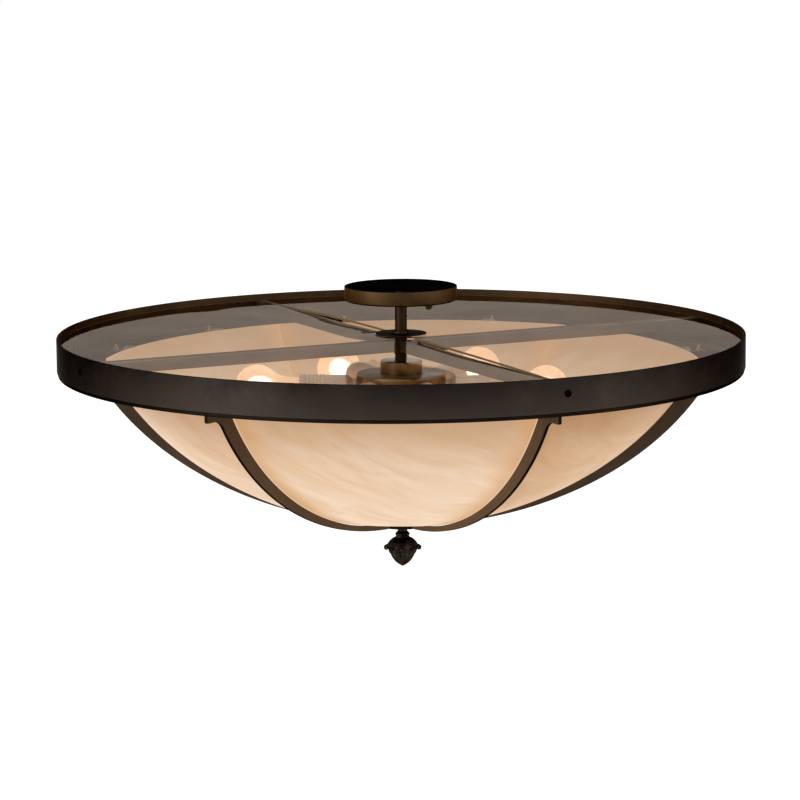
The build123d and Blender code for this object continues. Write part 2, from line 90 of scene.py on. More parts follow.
acorn_top = highest("finial").z
acorn_tip = lowest("finial").z
washer_radius = highest("cover_washer").x

# Sizes that the frame's boxes do not show, the same as in the CAD model. Angles are in degrees.
rib_curve_inset = 9.2 * mm
rib_curve_rise = 75.0 * mm
panel_thickness = 3.2 * mm
panel_curve_inset = 30.5 * mm
panel_curve_rise = 89.3 * mm
panel_bottom_step = 7.0 * mm
panel_side_gap = 1.2 * mm
panel_flatness = 90.0 * mm
seat_clearance = 0.4 * mm
cover_thickness = 3.0 * mm
cover_seam = 1.0 * mm
side_count = 6
bar_count = 4
first_side = -90.0

# Sizes of the visual model alone, from the photograph
rib_belly_gap = 0.6 * mm
tab_fillet = 22.0 * mm
leaf_count = 8
first_leaf = -116.4
camera_azimuth = -26.4

rib_centre = ring_top + rib_curve_rise
rib_a = ring_radius - rib_curve_inset
rib_b = (rib_centre - lowest("rib_1").z) / math.sqrt(1 - (rib_start / rib_a) ** 2)
bowl_bottom = rib_centre - rib_b
panel_centre = ring_top + panel_curve_rise
panel_a = ring_radius - panel_curve_inset
panel_b = panel_centre - bowl_bottom - panel_bottom_step


def ellipse_radius(a, b, centre, z):
    """Distance from the axis at which an ellipse passes height z."""
    return a * math.sqrt(max(0.0, 1 - ((z - centre) / b) ** 2))


def ellipse_level(a, b, centre, radius):
    """Height at which the lower half of an ellipse passes a distance from the axis."""
    return centre - b * math.sqrt(max(0.0, 1 - (radius / a) ** 2))


# Material tools

def linear(code):
    """Linear colour from an sRGB hex value."""
    parts = [int(code[i:i + 2], 16) / 255 for i in (1, 3, 5)]
    return tuple(c / 12.92 if c <= 0.04045 else ((c + 0.055) / 1.055) ** 2.4 for c in parts) + (1.0,)


def per(size_mm):
    """Texture scale whose features are about size_mm across."""
    return 1 / (size_mm * mm)


def add(tree, kind, settings=None, inputs=None, out=0, stops=()):
    """Add a node with its properties, its inputs' values or links and its colour stops. Gives one output."""
    made = tree.nodes.new(kind)
    for name, value in (settings or {}).items():
        setattr(made, name, value)
    for name, value in (inputs or {}).items():
        if isinstance(value, bpy.types.NodeSocket):
            tree.links.new(value, made.inputs[name])
        else:
            made.inputs[name].default_value = value
    for i, (position, colour) in enumerate(stops):
        elements = made.color_ramp.elements
        stop = elements[i] if i < 2 else elements.new(position)
        stop.position = position
        stop.color = linear(colour)
    return made.outputs[out] if made.outputs else made


def new_finish(name):
    """Material with an empty tree, and the coordinates of the piece it is on."""
    made = bpy.data.materials.new(name)
    made.use_nodes = True
    tree = made.node_tree
    tree.nodes.clear()
    return made, tree, add(tree, "ShaderNodeTexCoord", out="Object")


# Metal finishes

# Levels far below the light, for a finish that has no band of painted light
no_painted_light_band = (-2.0, -1.0)


def rubbed_bronze(name, dark, brown, worn_and_lit, band=no_painted_light_band, rim=0.05, sheen=0.0):
    """Steel with an oil-rubbed bronze finish, brushed on and rubbed back by hand.

    The eye sees near black with brown clouds and a soft uneven shine that stays dark at a low angle.
    From the band's upper level down to its lower one it is painted paler, a painted light. Sheen is a
    brown bloom of wax.
    """
    made, tree, place = new_finish(name)
    clouds = add(tree, "ShaderNodeTexNoise", inputs={
        "Vector": place, "Scale": per(70.0), "Detail": 4.0, "Roughness": 0.6, "Distortion": 0.4,
    })
    rubbed = add(tree, "ShaderNodeTexNoise", inputs={
        "Vector": place, "Scale": per(9.0), "Detail": 5.0, "Roughness": 0.65,
    })
    tooth = add(tree, "ShaderNodeTexNoise", inputs={"Vector": place, "Scale": per(1.2), "Detail": 2.0})
    tone = add(tree, "ShaderNodeValToRGB", inputs={"Fac": clouds}, stops=(
        (0.30, dark), (0.62, brown), (0.85, worn_and_lit),
    ))
    level = add(tree, "ShaderNodeSeparateXYZ", inputs={"Vector": place}, out="Z")
    # Painted light: paler from the band's upper level down to its lower one
    painted_light_below = add(tree, "ShaderNodeMapRange", inputs={
        "Value": level, "From Min": band[0], "From Max": band[1], "To Min": 0.75, "To Max": 0.0,
    })
    patchy = add(tree, "ShaderNodeMapRange", inputs={
        "Value": rubbed, "From Min": 0.5, "From Max": 0.75, "To Min": 0.0, "To Max": 0.3,
    })
    share = add(tree, "ShaderNodeMath", {"operation": "MAXIMUM"}, {0: painted_light_below, 1: patchy})
    # The paler tone is rubbed wear in patches and painted light in the band
    colour = add(tree, "ShaderNodeMix", {"data_type": "RGBA"}, {0: share, 6: tone, 7: linear(worn_and_lit)}, out=2)
    gloss = add(tree, "ShaderNodeMapRange", inputs={
        "Value": rubbed, "From Min": 0.3, "From Max": 0.7, "To Min": 0.40, "To Max": 0.52,
    })
    grain = add(tree, "ShaderNodeBump", inputs={"Height": tooth, "Distance": 0.04 * mm})
    skin = add(tree, "ShaderNodeBsdfPrincipled", inputs={
        "Base Color": colour, "Metallic": 1.0, "Roughness": gloss, "Normal": grain,
        "Specular Tint": (rim, rim * 0.85, rim * 0.7, 1.0),
        "Sheen Weight": sheen, "Sheen Roughness": 0.5, "Sheen Tint": linear("#f6cfa8"),
    })
    add(tree, "ShaderNodeOutputMaterial", inputs={"Surface": skin})
    return made


def cast_bronze(name):
    """Sand-cast bronze: dark patina and brown in random clouds, and a grainy skin."""
    made, tree, place = new_finish(name)
    grain = add(tree, "ShaderNodeTexNoise", inputs={
        "Vector": place, "Scale": per(1.6), "Detail": 4.0, "Roughness": 0.65,
    })
    clouds = add(tree, "ShaderNodeTexNoise", inputs={"Vector": place, "Scale": per(9.0), "Detail": 3.0})
    tone = add(tree, "ShaderNodeValToRGB", inputs={"Fac": clouds}, stops=(
        (0.35, "#1a1512"), (0.55, "#302923"), (0.75, "#4a4038"),
    ))
    gloss = add(tree, "ShaderNodeMapRange", inputs={
        "Value": grain, "From Min": 0.3, "From Max": 0.7, "To Min": 0.36, "To Max": 0.52,
    })
    rough = add(tree, "ShaderNodeBump", inputs={"Height": grain, "Distance": 0.12 * mm})
    skin = add(tree, "ShaderNodeBsdfPrincipled", inputs={
        "Base Color": tone, "Metallic": 1.0, "Roughness": gloss, "Normal": rough,
        "Specular Tint": (0.45, 0.4, 0.36, 1.0),
    })
    add(tree, "ShaderNodeOutputMaterial", inputs={"Surface": skin})
    return made


def spun_brass(name):
    """Spun brass, aged to olive brown: fine turning lines round the axis and a warm satin shine."""
    made, tree, place = new_finish(name)
    lathe = add(tree, "ShaderNodeMapping", inputs={"Vector": place, "Scale": (1.0, 1.0, 40.0)})
    lines = add(tree, "ShaderNodeTexNoise", inputs={"Vector": lathe, "Scale": per(30.0), "Detail": 3.0})
    clouds = add(tree, "ShaderNodeTexNoise", inputs={"Vector": place, "Scale": per(25.0), "Detail": 3.0})
    tone = add(tree, "ShaderNodeValToRGB", inputs={"Fac": clouds}, stops=(
        (0.30, "#6a5539"), (0.55, "#8b724f"), (0.78, "#a88b60"),
    ))
    gloss = add(tree, "ShaderNodeMapRange", inputs={
        "Value": lines, "From Min": 0.3, "From Max": 0.7, "To Min": 0.28, "To Max": 0.42,
    })
    ridges = add(tree, "ShaderNodeBump", inputs={"Height": lines, "Distance": 0.02 * mm})
    skin = add(tree, "ShaderNodeBsdfPrincipled", inputs={
        "Base Color": tone, "Metallic": 1.0, "Roughness": gloss, "Normal": ridges,
    })
    add(tree, "ShaderNodeOutputMaterial", inputs={"Surface": skin})
    return made


def plated_steel(name, dull, bright, low_gloss, high_gloss):
    """Plated steel fastener: fine crystals in the plating break up a dull shine."""
    made, tree, place = new_finish(name)
    crystals = add(tree, "ShaderNodeTexVoronoi", inputs={"Vector": place, "Scale": per(2.2)})
    tone = add(tree, "ShaderNodeValToRGB", inputs={"Fac": crystals}, stops=((0.1, dull), (0.6, bright)))
    gloss = add(tree, "ShaderNodeMapRange", inputs={
        "Value": crystals, "From Min": 0.0, "From Max": 0.8, "To Min": low_gloss, "To Max": high_gloss,
    })
    skin = add(tree, "ShaderNodeBsdfPrincipled", inputs={
        "Base Color": tone, "Metallic": 1.0, "Roughness": gloss,
    })
    add(tree, "ShaderNodeOutputMaterial", inputs={"Surface": skin})
    return made


def blackened_steel(name):
    """Steel with an oiled black oxide skin: almost no shine, a shade browner where it was handled."""
    made, tree, place = new_finish(name)
    handled = add(tree, "ShaderNodeTexNoise", inputs={"Vector": place, "Scale": per(14.0), "Detail": 4.0})
    tone = add(tree, "ShaderNodeValToRGB", inputs={"Fac": handled}, stops=(
        (0.35, "#070504"), (0.7, "#0f0c09"),
    ))
    skin = add(tree, "ShaderNodeBsdfPrincipled", inputs={
        "Base Color": tone, "Roughness": 0.7, "Specular IOR Level": 0.0,
    })
    add(tree, "ShaderNodeOutputMaterial", inputs={"Surface": skin})
    return made


# Panel, lamp and cover finishes

acrylic_ior = 1.49


def alabaster_acrylic(name):
    """Slumped acrylic sheet with marbled veins; its emission is painted light of the lamps inside.

    The eye sees cream with soft streaks that run down across it, and painted shade: darker under the ring,
    amber beside the ribs and brown at the tip, with a painted hair of light at the very edge. Each panel is
    cut from a sheet of its own, and some carry a painted shade that darkens them whole.
    """
    made, tree, _ = new_finish(name)
    sheet = add(tree, "ShaderNodeAttribute", {"attribute_name": "sheet"}, out="Vector")
    edge = add(tree, "ShaderNodeAttribute", {"attribute_name": "edge"}, out="Fac")
    reach = add(tree, "ShaderNodeAttribute", {"attribute_name": "reach"}, out="Fac")
    batch = add(tree, "ShaderNodeAttribute", {"attribute_name": "batch"}, out="Fac")
    bend = add(tree, "ShaderNodeTexNoise", inputs={
        "Vector": sheet, "Scale": per(240.0), "Detail": 1.0,
    }, out="Color")
    shift = add(tree, "ShaderNodeVectorMath", {"operation": "SCALE"}, {0: bend, "Scale": 160 * mm})
    warped = add(tree, "ShaderNodeVectorMath", {"operation": "ADD"}, {0: sheet, 1: shift})
    drift = add(tree, "ShaderNodeMapping", {"vector_type": "TEXTURE"}, {
        "Vector": warped, "Rotation": (0.0, 0.0, math.radians(38)), "Scale": (4.5, 1.0, 1.0),
    })
    broad = add(tree, "ShaderNodeTexNoise", inputs={
        "Vector": drift, "Scale": per(75.0), "Detail": 3.0, "Roughness": 0.5, "Distortion": 0.4,
    })
    wisps = add(tree, "ShaderNodeTexNoise", inputs={
        "Vector": drift, "Scale": per(26.0), "Detail": 3.0, "Roughness": 0.5, "Distortion": 0.5,
    })
    milk = add(tree, "ShaderNodeValToRGB", inputs={"Fac": broad}, stops=(
        (0.30, "#e9c49f"), (0.48, "#f4d0ac"), (0.62, "#f8d8b8"), (0.80, "#fbe2c8"),
    ))
    run = add(tree, "ShaderNodeSeparateXYZ", inputs={"Vector": sheet}, out="Y")
    colour = milk
    for follows, start, end, first, last, tint in (
        (wisps, 0.48, 0.72, 0.0, 0.38, "#deb487"),          # darker veins
        (wisps, 0.48, 0.30, 0.0, 0.36, "#ffecd6"),          # paler veins
        (run, 0.0, 130 * mm, 0.80, 0.0, "#c3956a"),         # painted shade under the ring
        (edge, 3 * mm, 40 * mm, 0.50, 0.0, "#eab175"),      # painted shade, amber beside the ribs
        (edge, 1.8 * mm, 3.4 * mm, 0.7, 0.0, "#fbe3c0"),    # a hair of light at the very edge
        (reach, 128 * mm, 92 * mm, 0.0, 0.5, "#c08a55"),    # painted shade, brown at the tip
    ):
        share = add(tree, "ShaderNodeMapRange", {"interpolation_type": "SMOOTHSTEP"}, {
            "Value": follows, "From Min": start, "From Max": end, "To Min": first, "To Max": last,
        })
        colour = add(tree, "ShaderNodeMix", {"data_type": "RGBA"}, {
            0: share, 6: colour, 7: linear(tint),
        }, out=2)
    # Painted shade: some panels darkened whole
    glow = add(tree, "ShaderNodeMix", {"data_type": "RGBA", "blend_type": "MULTIPLY"}, {
        0: batch, 6: colour, 7: linear("#e3d4be"),
    }, out=2)
    body = add(tree, "ShaderNodeMix", {"data_type": "RGBA", "blend_type": "MULTIPLY"}, {
        0: 1.0, 6: glow, 7: linear("#5c5c5c"),
    }, out=2)
    ripple = add(tree, "ShaderNodeTexNoise", inputs={"Vector": sheet, "Scale": per(60.0), "Detail": 2.0})
    waves = add(tree, "ShaderNodeBump", inputs={"Height": ripple, "Distance": 0.25 * mm})
    skin = add(tree, "ShaderNodeBsdfPrincipled", inputs={
        "Base Color": body, "Roughness": 0.45, "IOR": acrylic_ior, "Specular IOR Level": 0.15,
        "Normal": waves,
        # The emission is painted light: the lamps' glow through the sheet
        "Emission Color": glow, "Emission Strength": 0.80,
    })
    add(tree, "ShaderNodeOutputMaterial", inputs={"Surface": skin})
    return made


def clear_acrylic(name):
    """Cast clear acrylic sheet: all but unseen from above, and a warm dim sheen when seen along it.

    It bends what is seen through it, and lets the light of the room and the lamps straight through.
    """
    made, tree, place = new_finish(name)
    dust = add(tree, "ShaderNodeTexNoise", inputs={"Vector": place, "Scale": per(90.0), "Detail": 3.0})
    sheen = add(tree, "ShaderNodeValToRGB", inputs={"Fac": dust}, stops=((0.3, "#b0a294"), (0.7, "#bfb0a2")))
    facing = add(tree, "ShaderNodeLayerWeight", inputs={"Blend": 0.5}, out="Facing")
    steep = add(tree, "ShaderNodeMath", {"operation": "POWER"}, {0: facing, 1: 4.0})
    share = add(tree, "ShaderNodeMapRange", inputs={
        "Value": steep, "From Min": 0.0, "From Max": 1.0, "To Min": 0.02, "To Max": 0.52,
    })
    bent = add(tree, "ShaderNodeBsdfRefraction", inputs={
        "Color": (1, 1, 1, 1), "Roughness": 0.0, "IOR": acrylic_ior,
    })
    mirrored = add(tree, "ShaderNodeBsdfAnisotropic", inputs={"Color": sheen, "Roughness": 0.0})
    pane = add(tree, "ShaderNodeMixShader", inputs={0: share, 1: bent, 2: mirrored})
    path = add(tree, "ShaderNodeLightPath").node.outputs
    lighting = add(tree, "ShaderNodeMath", {"operation": "MAXIMUM"}, {
        0: path["Is Shadow Ray"], 1: path["Is Diffuse Ray"],
    })
    open_way = add(tree, "ShaderNodeBsdfTransparent", inputs={"Color": (0.97, 0.97, 0.97, 1)})
    sight = add(tree, "ShaderNodeMixShader", inputs={0: lighting, 1: pane, 2: open_way})
    add(tree, "ShaderNodeOutputMaterial", inputs={"Surface": sight})
    return made


def acrylic_edge(name):
    """Sawn edge of the clear sheet, with a painted brown glow: a painted reflection of the metal beside it.
    """
    made, tree, place = new_finish(name)
    saw = add(tree, "ShaderNodeTexNoise", inputs={"Vector": place, "Scale": per(2.0), "Detail": 3.0})
    tone = add(tree, "ShaderNodeValToRGB", inputs={"Fac": saw}, stops=((0.3, "#5a4836"), (0.7, "#836b4c")))
    skin = add(tree, "ShaderNodeBsdfPrincipled", inputs={
        "Base Color": tone, "Roughness": 0.4, "IOR": acrylic_ior, "Specular IOR Level": 0.2,
        "Alpha": 0.85,
        # Painted glow of the edge, in its colour and its emission
        "Emission Color": tone, "Emission Strength": 0.4,
    })
    add(tree, "ShaderNodeOutputMaterial", inputs={"Surface": skin})
    return made


def moulded_clip(name):
    """Clear moulded polycarbonate clip: only its edges catch a little light."""
    made, tree, place = new_finish(name)
    flow = add(tree, "ShaderNodeTexNoise", inputs={"Vector": place, "Scale": per(6.0), "Detail": 2.0})
    tone = add(tree, "ShaderNodeValToRGB", inputs={"Fac": flow}, stops=((0.3, "#c9b79d"), (0.7, "#dccbb2")))
    facing = add(tree, "ShaderNodeLayerWeight", inputs={"Blend": 0.3}, out="Facing")
    film = add(tree, "ShaderNodeMapRange", inputs={
        "Value": facing, "From Min": 0.0, "From Max": 1.0, "To Min": 0.12, "To Max": 0.45,
    })
    skin = add(tree, "ShaderNodeBsdfPrincipled", inputs={
        "Base Color": tone, "Roughness": 0.2, "IOR": 1.58, "Specular IOR Level": 0.3, "Alpha": film,
    })
    add(tree, "ShaderNodeOutputMaterial", inputs={"Surface": skin})
    return made


def frosted_glass(name):
    """Acid-etched glass bulb, lit: a warm milky skin that lets the bright middle show."""
    made, tree, place = new_finish(name)
    etch = add(tree, "ShaderNodeTexNoise", inputs={"Vector": place, "Scale": per(12.0), "Detail": 2.0})
    glow = add(tree, "ShaderNodeValToRGB", inputs={"Fac": etch}, stops=((0.3, "#efc9a2"), (0.7, "#f6d6b4")))
    skin = add(tree, "ShaderNodeBsdfPrincipled", inputs={
        "Base Color": glow, "Roughness": 0.5, "IOR": 1.5, "Specular IOR Level": 0.2, "Alpha": 0.6,
        "Emission Color": glow, "Emission Strength": 0.42,
    })
    add(tree, "ShaderNodeOutputMaterial", inputs={"Surface": skin})
    return made


def lamp_heart(name):
    """The bright middle of a lit lamp: white, fading at its rim as light does in etched glass."""
    made, tree, place = new_finish(name)
    heat = add(tree, "ShaderNodeTexNoise", inputs={"Vector": place, "Scale": per(20.0), "Detail": 1.0})
    glow = add(tree, "ShaderNodeValToRGB", inputs={"Fac": heat}, stops=((0.3, "#fff2e0"), (0.7, "#fff9f0")))
    facing = add(tree, "ShaderNodeLayerWeight", inputs={"Blend": 0.5}, out="Facing")
    fading = add(tree, "ShaderNodeMapRange", {"interpolation_type": "SMOOTHSTEP"}, {
        "Value": facing, "From Min": 0.0, "From Max": 0.7, "To Min": 1.0, "To Max": 0.0,
    })
    skin = add(tree, "ShaderNodeBsdfPrincipled", inputs={
        "Base Color": glow, "Roughness": 1.0, "Specular IOR Level": 0.0, "Alpha": fading,
        "Emission Color": glow, "Emission Strength": 3.0,
    })
    add(tree, "ShaderNodeOutputMaterial", inputs={"Surface": skin})
    return made


def ivory_socket(name):
    """Moulded ivory thermoplastic lamp holder: warm, slightly see-through, semi-gloss."""
    made, tree, place = new_finish(name)
    flow = add(tree, "ShaderNodeTexNoise", inputs={"Vector": place, "Scale": per(18.0), "Detail": 3.0})
    tone = add(tree, "ShaderNodeValToRGB", inputs={"Fac": flow}, stops=((0.3, "#e2ba94"), (0.7, "#f0d2b4")))
    skin = add(tree, "ShaderNodeBsdfPrincipled", inputs={
        "Base Color": tone, "Roughness": 0.32, "IOR": 1.5, "Specular IOR Level": 0.25,
        "Subsurface Weight": 0.25, "Subsurface Radius": (0.006, 0.003, 0.0015),
    })
    add(tree, "ShaderNodeOutputMaterial", inputs={"Surface": skin})
    return made


# The ring's band is painted paler towards its lower edge, a painted light
ring_bronze = rubbed_bronze("oil_rubbed_bronze_ring", "#1c1816", "#28221e", "#3b332d",
                            band=(band_bottom, ring_top), rim=0.16)
# Warmer brown copy for the ring's inner wall: painted light of the glowing bowl
bowl_lit_bronze = rubbed_bronze("oil_rubbed_bronze_wall", "#36261a", "#41301e", "#5a4225", rim=0.3)
bronze = rubbed_bronze("oil_rubbed_bronze_plain", "#2c2219", "#3a2c20", "#54402b", rim=0.1)
canopy_bronze = rubbed_bronze("oil_rubbed_bronze_canopy", "#3f301f", "#503d27", "#6b5233", rim=0.4)
rib_bronze = rubbed_bronze("oil_rubbed_bronze_rib", "#2f261d", "#3b3026", "#4f4132", sheen=1.0)
# Near black copy for rib edges, seat plate, its screws and the bottom plate: painted shade
shaded_bronze = rubbed_bronze("oil_rubbed_bronze_edge", "#120e0b", "#1a1511", "#241d17")
# Lighter copy for the cross bars: painted light of the glowing bowl below them
lit_bar_bronze = rubbed_bronze("oil_rubbed_bronze_bar", "#5b4e41", "#736351", "#877562")
finial_bronze = cast_bronze("cast_bronze_finial")
brass = spun_brass("aged_spun_brass")
blackened = blackened_steel("black_oxide_steel")
pin_brass = plated_steel("yellow_passivated_pin", "#a88752", "#d0b07a", 0.28, 0.45)
nickel = plated_steel("nickel_plated_base", "#b9b2a4", "#d8d2c4", 0.18, 0.34)
alabaster = alabaster_acrylic("alabaster_acrylic_sheet")
clear = clear_acrylic("clear_acrylic_sheet")
clear_edge_glow = acrylic_edge("clear_acrylic_edge")
clip_plastic = moulded_clip("clear_moulded_clip")
frosted = frosted_glass("frosted_lamp_glass")
heart = lamp_heart("lamp_bright_middle")
ivory = ivory_socket("ivory_lamp_holder")


# Mesh tools

def rounded_outline(corners, steps=4):
    """Closed outline from (x, y, radius) corners, each rounded by an arc of that radius."""
    points = []
    for i, (x, y, radius) in enumerate(corners):
        here = Vector((x, y))
        if radius == 0:
            points.append(here)
            continue
        back = (Vector(corners[i - 1][:2]) - here).normalized()
        ahead = (Vector(corners[(i + 1) % len(corners)][:2]) - here).normalized()
        half = back.angle(ahead) / 2
        middle = here + (back + ahead).normalized() * radius / math.sin(half)
        start = here + back * radius / math.tan(half) - middle
        end = here + ahead * radius / math.tan(half) - middle
        turn = math.atan2(start.x * end.y - start.y * end.x, start.dot(end))
        for k in range(steps + 1):
            points.append(middle + Matrix.Rotation(turn * k / steps, 2) @ start)
    return points


def mesh_from(bm, name):
    """Turn a bmesh into a mesh with outward faces and soft shading across small angles."""
    bmesh.ops.recalc_face_normals(bm, faces=bm.faces)
    mesh = bpy.data.meshes.new(name)
    bm.to_mesh(mesh)
    bm.free()
    shade(mesh)
    return mesh


def shade(mesh, degrees=32):
    """Smooth shading with sharp edges past an angle."""
    mesh.polygons.foreach_set("use_smooth", [True] * len(mesh.polygons))
    mesh.set_sharp_from_angle(angle=math.radians(degrees))


def fill_rows(bm, rows):
    """Faces between open rows of points."""
    for here, there in zip(rows, rows[1:]):
        for j in range(len(here) - 1):
            bm.faces.new((here[j], here[j + 1], there[j + 1], there[j]))


def fill_sheet(bm, outer, inner, edge_index=0):
    """Faces of a sheet between two skins of rows; its four sawn edges take a finish by its index."""
    fill_rows(bm, outer)
    fill_rows(bm, inner)
    last = len(outer) - 1
    end = len(outer[0]) - 1
    sides = [(i, j, i + 1, j) for i in range(last) for j in (0, end)]
    sides += [(i, j, i, j + 1) for i in (0, last) for j in range(end)]
    for i, j, k, m in sides:
        face = bm.faces.new((outer[i][j], outer[k][m], inner[k][m], inner[i][j]))
        face.material_index = edge_index


def join_rings(bm, rings):
    """Faces between closed rows of points one after the other; a row of one point is a pole."""
    for here, there in zip(rings, rings[1:]):
        count = max(len(here), len(there))
        if count == 1:
            continue
        for i in range(count):
            j = (i + 1) % count
            corners = (
                here[i % len(here)], here[j % len(here)], there[j % len(there)], there[i % len(there)],
            )
            bm.faces.new(list(dict.fromkeys(corners)))


def turned(name, outline, segments=96, wave=None):
    """Solid of revolution about Z from a closed outline of (radius, height) points.

    Where wave(angle, height) is given, it scales the radius.
    """
    on_axis = 1e-7
    bm = bmesh.new()
    rings = []
    for radius, height in outline:
        if radius < on_axis:
            rings.append([bm.verts.new((0, 0, height))])
            continue
        ring = []
        for i in range(segments):
            angle = math.tau * i / segments
            reach = radius * wave(angle, height) if wave else radius
            ring.append(bm.verts.new((reach * math.cos(angle), reach * math.sin(angle), height)))
        rings.append(ring)
    join_rings(bm, rings + rings[:1])
    return mesh_from(bm, name)


def bar_section(left, right, low, high, ease):
    """Outline of a bar's section with eased corners."""
    return rounded_outline(((left, low, ease), (right, low, ease), (right, high, ease), (left, high, ease)))


def plate(name, outline, low, high, bevel):
    """Flat plate: an outline in X and Y between two heights, with its edges eased."""
    bm = bmesh.new()
    face = bm.faces.new([bm.verts.new((x, y, low)) for x, y in outline])
    raised = bmesh.ops.extrude_face_region(bm, geom=[face])["geom"]
    top = [e for e in raised if isinstance(e, bmesh.types.BMVert)]
    bmesh.ops.translate(bm, verts=top, vec=(0, 0, high - low))
    rims = [e for e in bm.edges if abs(e.verts[0].co.z - e.verts[1].co.z) < 1e-9]
    bmesh.ops.bevel(bm, geom=rims, offset=bevel, segments=2, affect="EDGES", clamp_overlap=True)
    return mesh_from(bm, name)


def joined(name, meshes):
    """One mesh from several."""
    bm = bmesh.new()
    for mesh in meshes:
        bm.from_mesh(mesh)
    made = bpy.data.meshes.new(name)
    bm.to_mesh(made)
    bm.free()
    return made


def placed(mesh, matrix):
    """Copy of a mesh moved by a matrix."""
    made = mesh.copy()
    made.transform(matrix)
    return made


def turn_z(angle):
    """Rotation about the Z axis, in degrees."""
    return Matrix.Rotation(math.radians(angle), 4, "Z")


def lying(level, along=0.0):
    """Lays a mesh turned about Z down along +X at a height."""
    return Matrix.Translation((along, 0, level)) @ Matrix.Rotation(math.radians(90), 4, "Y")


def evaluated(made):
    """Mesh of an object with its modifiers applied; the object is removed."""
    graph = bpy.context.evaluated_depsgraph_get()
    mesh = bpy.data.meshes.new_from_object(made.evaluated_get(graph))
    bpy.data.objects.remove(made)
    return mesh


def object_of(name, mesh):
    """New object in the scene that holds a mesh."""
    made = bpy.data.objects.new(name, mesh)
    bpy.context.scene.collection.objects.link(made)
    return made


def piece(name, mesh, finishes, body, slot, *replaced):
    """Finished piece on a body, with its finish, its record slot and the nodes it stands for."""
    made = object_of(name, mesh)
    mesh.name = name
    which = [face.material_index for face in mesh.polygons]
    mesh.materials.clear()
    if isinstance(finishes, list):
        for finish in finishes:
            mesh.materials.append(finish)
        mesh.polygons.foreach_set("material_index", which)
    else:
        mesh.materials.append(finishes)
    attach(made, body)
    if replaced:
        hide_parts(*replaced)
    return made


def side_angle(i, count=side_count):
    """Angle of the i-th of like pieces round the stem, counted from 1."""
    return first_side + 360 / count * (i - 1)


def round_pieces(name, mesh, finishes, slot, node, count=side_count):
    """Copies of a mesh round the stem, each a piece on the frame in the place of its own CAD node."""
    for i in range(1, count + 1):
        copy = placed(mesh, turn_z(side_angle(i, count)))
        piece(name % i, copy, finishes, "frame", slot, node % i)


# Geometry Nodes trees

def new_tree(name, inputs):
    """Empty geometry tree with named inputs, each (name, socket kind)."""
    tree = bpy.data.node_groups.new(name, "GeometryNodeTree")
    tree.interface.new_socket("Geometry", in_out="INPUT", socket_type="NodeSocketGeometry")
    for label, kind in inputs:
        tree.interface.new_socket(label, in_out="INPUT", socket_type=kind)
    tree.interface.new_socket("Geometry", in_out="OUTPUT", socket_type="NodeSocketGeometry")
    return tree, tree.nodes.new("NodeGroupInput").outputs, tree.nodes.new("NodeGroupOutput")


def close_tree(tree, geometry, finish, out):
    """End a tree with real geometry in its own material."""
    solid = add(tree, "GeometryNodeRealizeInstances", inputs={"Geometry": geometry})
    done = add(tree, "GeometryNodeSetMaterial", inputs={"Geometry": solid, "Material": finish})
    tree.links.new(done, out.inputs["Geometry"])
    return tree


def copies_tree():
    """Copies of a mesh, evenly spaced round the Z axis."""
    tree, given, out = new_tree("copies_round_stem", (
        ("Count", "NodeSocketInt"), ("Start Angle", "NodeSocketFloat"), ("Finish", "NodeSocketMaterial"),
    ))
    points = add(tree, "GeometryNodeMeshLine", inputs={"Count": given["Count"], "Offset": (0, 0, 0)})
    step = add(tree, "ShaderNodeMath", {"operation": "DIVIDE"}, {0: math.tau, 1: given["Count"]})
    index = add(tree, "GeometryNodeInputIndex")
    angle = add(tree, "ShaderNodeMath", {"operation": "MULTIPLY_ADD"}, {
        0: index, 1: step, 2: given["Start Angle"],
    })
    turn = add(tree, "ShaderNodeCombineXYZ", inputs={"Z": angle})
    spread = add(tree, "GeometryNodeInstanceOnPoints", inputs={
        "Points": points, "Instance": given["Geometry"], "Rotation": turn,
    })
    return close_tree(tree, spread, given["Finish"], out)


def rolled_tree():
    """A bar whose section is the given outline, rolled to a circle."""
    tree, given, out = new_tree("rolled_bar", (
        ("Radius", "NodeSocketFloat"), ("Segments", "NodeSocketInt"), ("Finish", "NodeSocketMaterial"),
    ))
    path = add(tree, "GeometryNodeCurvePrimitiveCircle", {"mode": "RADIUS"}, {
        "Resolution": given["Segments"], "Radius": given["Radius"],
    })
    section = add(tree, "GeometryNodeMeshToCurve", inputs={"Mesh": given["Geometry"]})
    bar = add(tree, "GeometryNodeCurveToMesh", inputs={"Curve": path, "Profile Curve": section})
    return close_tree(tree, bar, given["Finish"], out)


def thread_tree():
    """A round thread wound up the Z axis."""
    tree, given, out = new_tree("screw_thread", (
        ("Radius", "NodeSocketFloat"), ("Height", "NodeSocketFloat"), ("Turns", "NodeSocketFloat"),
        ("Crest", "NodeSocketFloat"), ("Finish", "NodeSocketMaterial"),
    ))
    helix = add(tree, "GeometryNodeCurveSpiral", inputs={
        "Resolution": 40, "Rotations": given["Turns"], "Start Radius": given["Radius"],
        "End Radius": given["Radius"], "Height": given["Height"],
    })
    wire = add(tree, "GeometryNodeCurvePrimitiveCircle", {"mode": "RADIUS"}, {
        "Resolution": 8, "Radius": given["Crest"],
    })
    thread = add(tree, "GeometryNodeCurveToMesh", inputs={
        "Curve": helix, "Profile Curve": wire, "Fill Caps": True,
    })
    return close_tree(tree, thread, given["Finish"], out)


def grown(name, mesh, tree, **values):
    """Plain mesh that a geometry tree makes from a mesh and its named inputs."""
    made = object_of(name, mesh)
    modifier = made.modifiers.new(tree.name, "NODES")
    modifier.node_group = tree
    for item in tree.interface.items_tree:
        label = item.name.replace(" ", "_").lower()
        if item.in_out == "INPUT" and label in values:
            modifier[item.identifier] = values[label]
    made.update_tag()
    return evaluated(made)


copies = copies_tree()
rolled = rolled_tree()
threads = thread_tree()


